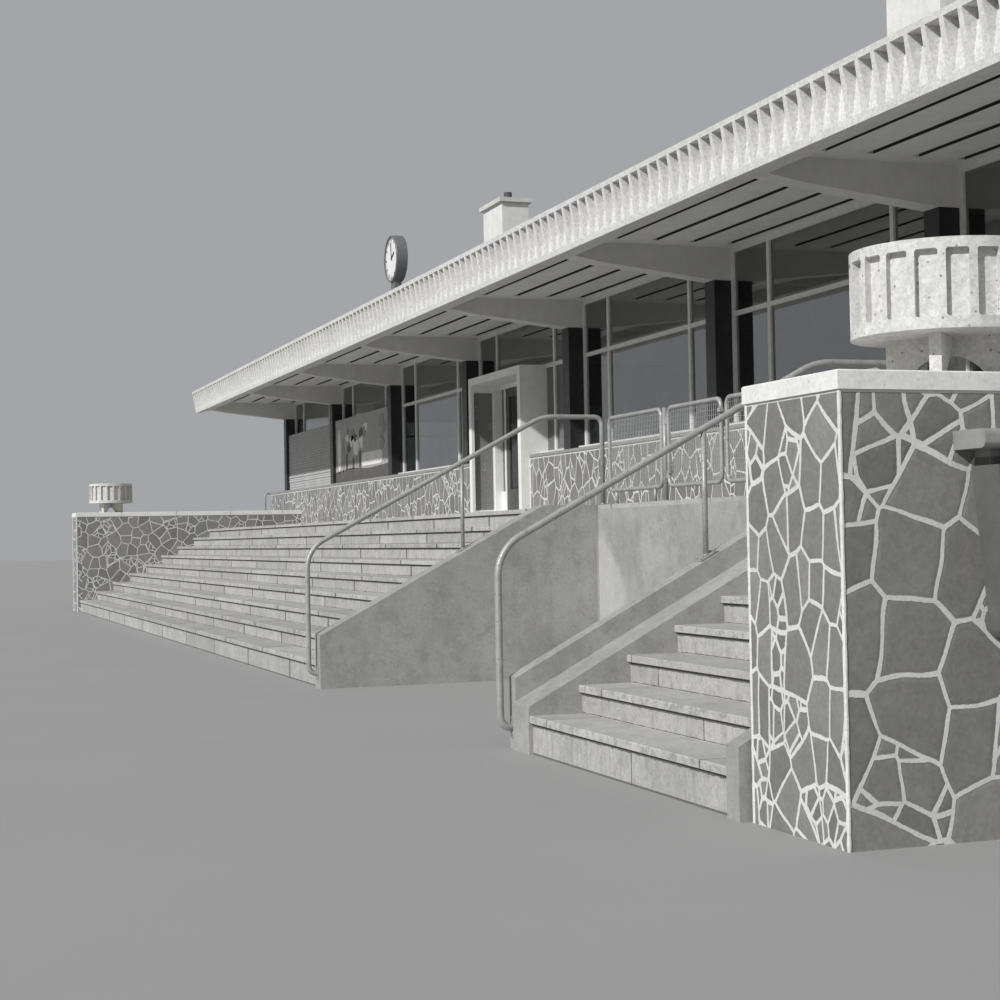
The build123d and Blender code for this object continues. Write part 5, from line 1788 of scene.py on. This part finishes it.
@dataclass
class CornerPointing:
    """Beads of mortar down the front corners of the stone walls and beside the porch."""

    flank_corners: Tuple[Point, ...] = (
        (8.5, 0.058, 1), (9.367, 0.058, -1), (-22.3, -0.020, 1), (-21.48, -0.020, -1),
    )
    porch_corners: Tuple[Point, ...] = ((PORCH_SIDES[1], 4.769, 1), (PORCH_SIDES[0], 4.769, -1))
    flank_span: Span = (0.0, 1.985)
    porch_span: Span = (1.686, 2.498)
    radius: float = 0.011
    buried: float = 0.35
    step: float = 0.035
    sides: int = 8
    girth: Span = (0.78, 1.0)
    seed: int = 5

    def build(self, wardrobe: Wardrobe) -> None:
        """Make a ragged bead down every corner.

        Args:
            wardrobe: The materials.
        """
        draw = random.Random(self.seed)
        beads = Piece("corner_pointing", "joint_mortar")
        inset = self.radius * self.buried
        for corners, span in ((self.flank_corners, self.flank_span), (self.porch_corners, self.porch_span)):
            for x, y, inwards in corners:
                self._bead(beads, on_site(x + inwards * inset, y + inset, 0.0), span, draw)
        beads.finished(wardrobe)

    def _bead(self, piece: Piece, place: Vector, span: Span, draw: random.Random) -> None:
        """Add one upright bead whose girth wanders.

        Args:
            piece: The piece that takes the bead.
            place: Where the bead stands.
            span: Its lower and upper end.
            draw: Source of the wander.
        """
        rings = []
        tall = span[1] - span[0]
        count = int(tall / self.step)
        turns = [math.tau * (step + 0.5) / self.sides for step in range(self.sides)]
        for level in range(count + 1):
            girth = self.radius * draw.uniform(*self.girth)
            height = span[0] + tall * level / count
            rings.append(piece.ring(place, [round_offset(girth, angle, height) for angle in turns]))
        piece.skin(rings)


@dataclass
class ClockMarks:
    """Hour and minute marks round the dial, laid by Geometry Nodes."""

    centre: Span = (-7.56, 5.312)
    face: float = -4.1885
    radius: float = 0.262
    depth: float = 0.0024
    hour: Span = (0.055, 0.018)
    minute: Span = (0.020, 0.006)
    minute_shift: float = 0.016

    def build(self, wardrobe: Wardrobe) -> None:
        """Lay the long and the short marks, each turned outwards.

        Args:
            wardrobe: The materials.
        """
        tree = GeometryTree("dial_marks", ("Width", "Depth", "Length"))
        size = tree.join(*(tree.put[label] for label in ("Width", "Depth", "Length")))
        tree.stamped(tree.block(size), "Z", "Y")
        middle = Vector((self.centre[0] + SITE_SHIFT.x, self.face - self.depth / 2, self.centre[1]))
        minutes = [step for step in range(60) if step % 5]
        for name, steps, reach, size in (
            ("hour_marks", range(0, 60, 5), self.radius, self.hour),
            ("minute_marks", minutes, self.radius + self.minute_shift, self.minute),
        ):
            turns = [math.tau * step / 60 for step in steps]
            ways = [Vector((math.sin(turn), 0.0, math.cos(turn))) for turn in turns]
            values = {"Length": size[0], "Width": size[1], "Depth": self.depth}
            tree.grow(name, [(middle + way * reach, way) for way in ways], values, "black_marks", wardrobe)


@dataclass
class PorchTrim:
    """Grey film with small dots on the porch's left pane, and the beads round it."""

    pane: float = -9.346
    run: Span = (4.680, 5.008)
    heights: Span = (1.795, 3.612)
    bead: float = 0.016
    bead_depth: float = 0.012
    film: float = 0.0025
    film_gap: float = 0.002
    dot: float = 0.0048
    dot_depth: float = 0.002
    edge_dots: int = 14
    edge_start: Span = (0.040, 0.06)
    edge_step: Span = (0.012, 0.024)
    field_start: Span = (0.075, 0.05)
    field_margin: Span = (0.11, 0.06)
    field_top: float = 2.80
    field_pitch: float = 0.026
    field_share: float = 0.45
    lozenges: Tuple[Span, ...] = ((4.735, 3.36), (4.735, 3.24), (4.945, 3.08), (4.850, 2.46))
    lozenge_half: Span = (0.032, 0.050)
    lozenge_dots: int = 16
    seed: int = 3

    def _places(self) -> List[Span]:
        """Place small lozenges, an edge row and a loose field of dots.

        Returns:
            Depth and height of every dot.
        """
        draw = random.Random(self.seed)
        near, low = self.run[0], self.heights[0]
        places: List[Span] = []
        for y, z in self.lozenges:
            for step in range(self.lozenge_dots):
                turn = 4.0 * step / self.lozenge_dots
                across = 1.0 - abs(turn % 4.0 - 2.0)
                up = 1.0 - abs((turn + 1.0) % 4.0 - 2.0)
                places.append((y + self.lozenge_half[0] * across, z + self.lozenge_half[1] * up))
        (inset, rise), (across, up) = self.edge_start, self.edge_step
        for step in range(self.edge_dots):
            places.append((near + inset + across * (step % 2), low + rise + up * step))
        columns = int((self.run[1] - near - self.field_margin[0]) / self.field_pitch)
        rows = int((self.field_top - low - self.field_margin[1]) / self.field_pitch)
        for row in range(rows):
            for column in range(columns):
                if draw.random() < self.field_share:
                    y = near + self.field_start[0] + self.field_pitch * column
                    places.append((y, low + self.field_start[1] + self.field_pitch * row))
        return places

    def build(self, wardrobe: Wardrobe) -> None:
        """Make the film, its dots and the beads.

        Args:
            wardrobe: The materials.
        """
        x, wide, gap = self.pane, self.bead, self.film_gap
        (near, far), (low, high) = self.run, self.heights
        film = Piece("porch_film", "pane_film")
        film.box(on_site(x, near + gap, low + gap), on_site(x + self.film, far - gap, high - gap), 0.0004)
        film.finished(wardrobe)
        plane = x + self.film + self.dot_depth / 2
        tree = GeometryTree("glass_dots", ("Radius", "Depth"))
        tree.stamped(tree.stud(tree.put["Radius"], tree.put["Depth"]), "Z")
        points = [(on_site(plane, y, z), ALONG_X) for y, z in self._places()]
        values = {"Radius": self.dot, "Depth": self.dot_depth}
        tree.grow("glass_dots", points, values, "dot_grey", wardrobe)
        beads = Piece("porch_beads", "panel_white")
        level = [((near, far), zs) for zs in ((low, low + wide), (high - wide, high))]
        upright = [(ys, (low + wide, high - wide)) for ys in ((near, near + wide), (far - wide, far))]
        for ys, zs in level + upright:
            beads.box(on_site(x, ys[0], zs[0]), on_site(x + self.bead_depth, ys[1], zs[1]), 0.002)
        beads.finished(wardrobe)


class Tone(Enum):
    """Paints of the picture panel."""

    LIGHT = "picture_light"
    MID = "picture_mid"
    DARK = "picture_dark"


@dataclass
class PictureRelief:
    """Loose pattern of flakes, bars and leaves on the panel of the second bay."""

    left: float = -18.732
    right: float = -14.618
    low: float = 2.542
    high: float = 3.820
    front: float = 4.872
    lift: float = 0.004
    leaves: Tuple[Tuple[Span, float, Tone], ...] = (
        ((0.075, 0.50), 0.36, Tone.LIGHT), ((0.15, 0.42), 0.26, Tone.MID),
    )
    leaf_half: float = 0.034
    flakes: int = 14
    flake_sizes: Span = (0.028, 0.058)
    side_flakes: int = 4
    stems: int = 5
    band: Tuple[Span, ...] = ((0.0, 0.0), (1.0, 0.0), (1.0, 0.20), (0.62, 0.17), (0.30, 0.21), (0.0, 0.18))
    bar: Tuple[Span, ...] = (
        (0.50, 0.26), (0.52, 0.21), (0.84, 0.21), (0.86, 0.26),
        (0.86, 0.36), (0.84, 0.41), (0.52, 0.41), (0.50, 0.36),
    )
    seed: int = 23

    def build(self, wardrobe: Wardrobe) -> None:
        """Lay the shapes of all tones on the panel.

        Args:
            wardrobe: The materials.
        """
        draw = random.Random(self.seed)
        tones = {tone: Piece(tone.value + "_shapes", tone.value) for tone in Tone}
        self._shape(tones[Tone.DARK], self.band, 1)
        for centre, reach, tone in self.leaves:
            self._leaf(tones[tone], centre, reach)
        for index in range(self.flakes):
            tone = (Tone.MID, Tone.LIGHT, Tone.DARK, Tone.LIGHT)[index % 4]
            centre = (0.22 + 0.026 * index + draw.uniform(-0.02, 0.02), draw.uniform(0.52, 0.80))
            self._flake(tones[tone], centre, draw)
        for index in range(self.side_flakes):
            self._flake(tones[Tone.MID], (0.88 + draw.uniform(-0.04, 0.05), 0.50 + 0.11 * index), draw)
        self._shape(tones[Tone.LIGHT], self.bar, 2)
        for index in range(self.stems):
            left, tall = 0.20 + 0.062 * index, draw.uniform(0.12, 0.26)
            feet = [(left, 0.19), (left + 0.040, 0.19)]
            heads = [(left + 0.034, 0.20 + tall), (left + 0.006, 0.18 + tall)]
            self._shape(tones[(Tone.DARK, Tone.MID)[index % 2]], feet + heads, 1)
        for piece in tones.values():
            piece.finished(wardrobe)

    def _shape(self, piece: Piece, corners: Sequence[Span], layer: int) -> None:
        """Add one flat shape.

        Args:
            piece: The piece of the shape's tone.
            corners: Corners in shares of the panel's width and height.
            layer: How many times the lift it stands proud.
        """
        wide, tall = self.right - self.left, self.high - self.low
        outline = [on_site(self.left + wide * x, self.front, self.low + tall * z) for x, z in corners]
        piece.polygon(outline, -ALONG_Y * (self.lift * layer))

    def _leaf(self, piece: Piece, centre: Span, reach: float) -> None:
        """Add one tall narrow leaf.

        Args:
            piece: The piece that takes the shape.
            centre: Middle of the shape.
            reach: Half its height in shares of the panel.
        """
        points = []
        for step in range(20):
            angle = math.tau * step / 20
            pinch = abs(math.cos(angle)) ** 1.6 * math.copysign(1.0, math.cos(angle))
            points.append((centre[0] + self.leaf_half * pinch, centre[1] + reach * math.sin(angle)))
        self._shape(piece, points, 1)

    def _flake(self, piece: Piece, centre: Span, draw: random.Random) -> None:
        """Add one angular flake of five corners.

        Args:
            piece: The piece that takes the shape.
            centre: Middle of the shape.
            draw: Source of the random draws.
        """
        turn = draw.uniform(0.0, math.tau)
        size = draw.uniform(*self.flake_sizes)
        points = []
        for step in range(5):
            angle = turn + math.tau * step / 5
            reach = size * draw.uniform(0.6, 1.3)
            points.append((centre[0] + reach * math.cos(angle), centre[1] + reach * 2.4 * math.sin(angle)))
        self._shape(piece, points, draw.choice((1, 2, 3)))


@dataclass
class WallBoxFace:
    """Black block of painted shade in the mouth of the box on the right flank wall."""

    heights: Span = (1.672, 1.716)
    setback: Span = (0.06, 0.045)
    half_width: float = 0.105

    def build(self, wardrobe: Wardrobe) -> None:
        """Make the block of painted shade in the mouth between the box and its hood.

        Args:
            wardrobe: The materials.
        """
        low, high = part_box("letter_box")
        middle = (low[1] + high[1]) / 2
        near = (low[0] + self.setback[0], middle - self.half_width, self.heights[0])
        far = (high[0] - self.setback[1], middle + self.half_width, self.heights[1])
        # Painted shade: a black block fills the mouth under the hood.
        mouth = Piece("wall_box_painted_shade", "box_mouth_shade_paint")
        mouth.box(near, far, 0.004)
        mouth.finished(wardrobe)


@dataclass
class WindowSills:
    """White strips under the windows, on the coping of both parapets."""

    closed_bays: int = 2
    depth: Span = (4.930, 5.020)
    heights: Span = (2.542, 2.586)

    def build(self, wardrobe: Wardrobe) -> None:
        """Lay a strip in every glazed bay.

        Args:
            wardrobe: The materials.
        """
        sills = Piece("window_sills", "frame_paint")
        near, far = self.depth
        for index in range(BAY_COUNT):
            left = FIRST_BAY + BAY_PITCH * index
            right = left + BAY_LENGTH
            self._strip(sills, (left, right), (2 * HALL_MIDDLE - far, 2 * HALL_MIDDLE - near))
            if index < self.closed_bays:
                continue
            spans = [(left, right)]
            if left < PORCH_SIDES[0] < right:
                spans = [(left, PORCH_SIDES[0]), (PORCH_SIDES[1], right)]
            for span in spans:
                self._strip(sills, span, self.depth)
        sills.finished(wardrobe)

    def _strip(self, piece: Piece, span: Span, depth: Span) -> None:
        """Add one strip."""
        low = on_site(span[0], depth[0], self.heights[0])
        piece.box(low, on_site(span[1], depth[1], self.heights[1]), 0.004)


@dataclass
class RoofEdge:
    """Folded metal strips with standing seams along the roof's edges."""

    half_length: float = 17.45
    run: Span = (2.960, 14.100)
    level: float = 4.782
    width: float = 0.16
    thickness: float = 0.004
    seam: float = 1.5
    seam_size: Span = (0.018, 0.012)
    ease: float = 0.0012

    def build(self, wardrobe: Wardrobe) -> None:
        """Lay the strips and their seams.

        Args:
            wardrobe: The materials.
        """
        strips = Piece("edge_strips", "flashing_zinc")
        near, far = (y + SITE_SHIFT.y for y in self.run)
        half, wide, top = self.half_length, self.width, self.level + self.thickness
        for y in (near, far - wide):
            strips.box((-half, y, self.level), (half, y + wide, top), self.ease)
        for x in (-half, half - wide):
            strips.box((x, near + wide, self.level), (x + wide, far - wide, top), self.ease)
        strips.finished(wardrobe)
        xs = [-half + self.seam * (index + 0.5) for index in range(int(2 * half / self.seam))]
        across, tall = self.seam_size
        middle = top + tall / 2
        points = [(Vector((x, y + wide / 2, middle)), ALONG_X) for x in xs for y in (near, far - wide)]
        labels = ("Across", "Along", "Height")
        tree = GeometryTree("edge_seams", labels)
        tree.stamped(tree.block(tree.join(*(tree.put[label] for label in labels))), "X")
        tree.grow("edge_seams", points, dict(zip(labels, (across, wide, tall))), "flashing_zinc", wardrobe)


@dataclass
class Studio:
    """Camera at the photo's place, floor, sun and even sky."""

    place: Point = (21.7716, -10.9285, 1.3695)
    yaw: float = 70.605
    pitch: float = 1.264
    roll: float = -1.05
    lens: float = 63.04
    sensor: float = 36.0
    clip: Span = (0.05, 500.0)
    sun_way: Point = (-0.5, 1.0, -0.70)
    sun_power: float = 3.3
    sun_spread: float = 1.2
    sky: Colour = (0.370, 0.376, 0.385)
    floor_tone: Colour = (0.325, 0.325, 0.32)
    floor_reach: float = 160.0

    def build(self) -> None:
        """Set up the whole studio."""
        bpy.context.scene.view_settings.view_transform = "Standard"
        self._camera()
        self._light()
        self._floor()

    def _camera(self) -> None:
        """Stand the camera where the photo was taken."""
        yaw, pitch, roll = (math.radians(value) for value in (self.yaw, self.pitch, self.roll))
        level = round_offset(math.cos(pitch), yaw + math.pi / 2, 0.0)
        forward = level + UP * math.sin(pitch)
        right = Vector((math.cos(yaw), math.sin(yaw), 0.0))
        up = right.cross(forward)
        turned = right * math.cos(roll) + up * math.sin(roll)
        lifted = up * math.cos(roll) - right * math.sin(roll)
        lens = bpy.data.cameras.new("photo_camera")
        lens.sensor_width = self.sensor
        lens.lens = self.lens
        lens.clip_start, lens.clip_end = self.clip
        camera = bpy.data.objects.new("photo_camera", lens)
        axes = Matrix((turned, lifted, -forward)).transposed().to_4x4()
        camera.matrix_world = Matrix.Translation(self.place) @ axes
        bpy.context.scene.collection.objects.link(camera)
        bpy.context.scene.camera = camera

    def _light(self) -> None:
        """Set the sun and an even sky."""
        sun = bpy.data.lights.new("low_sun", "SUN")
        sun.energy = self.sun_power
        sun.angle = math.radians(self.sun_spread)
        lamp = bpy.data.objects.new("low_sun", sun)
        lamp.rotation_mode = "QUATERNION"
        lamp.rotation_quaternion = Vector(self.sun_way).to_track_quat("-Z", "Y")
        bpy.context.scene.collection.objects.link(lamp)
        world = bpy.data.worlds.new("even_sky")
        world.use_nodes = True
        background = world.node_tree.nodes["Background"]
        background.inputs[0].default_value = (*self.sky, 1.0)
        background.inputs[1].default_value = 1.0
        bpy.context.scene.world = world

    def _floor(self) -> None:
        """Lay a wide plain floor under everything."""
        material = bpy.data.materials.new("pale_floor")
        material.use_nodes = True
        g = Graph(material.node_tree)
        shader = material.node_tree.nodes["Principled BSDF"]
        coords = g.coords()
        tone = g.mix(g.noise(coords, 0.6, 4.0), self.floor_tone, shaded(self.floor_tone, 1.08))
        g.feed(tone, shader.inputs["Base Color"])
        g.feed(g.spread(g.noise(coords, 3.0, 3.0), 0.88, 0.97), shader.inputs["Roughness"])
        data = bpy.data.meshes.new("floor")
        reach = self.floor_reach
        corners = [(-reach, -reach, 0.0), (reach, -reach, 0.0), (reach, reach, 0.0), (-reach, reach, 0.0)]
        data.from_pydata(corners, [], [(0, 1, 2, 3)])
        data.materials.append(material)
        floor = bpy.data.objects.new("floor", data)
        bpy.context.scene.collection.objects.link(floor)


def main() -> None:
    """Load the frame, dress it, add every piece and set up the picture."""
    logging.basicConfig(level=logging.INFO, format="%(name)s %(message)s")
    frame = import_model()
    wardrobe = Wardrobe()
    wardrobe.dress_nodes(frame)
    Studio().build()
    bolts = Bolts()
    StairRails().build(wardrobe, bolts)
    SideRails().build(wardrobe)
    GateWork().build(wardrobe, bolts)
    bolts.build(wardrobe)
    plain_parts = (Planters, SlotShadeLiners, CornerPointing, ClockMarks, PorchTrim)
    for part in (*plain_parts, PictureRelief, WallBoxFace, WindowSills, RoofEdge):
        part().build(wardrobe)


if __name__ == "__main__":
    main()
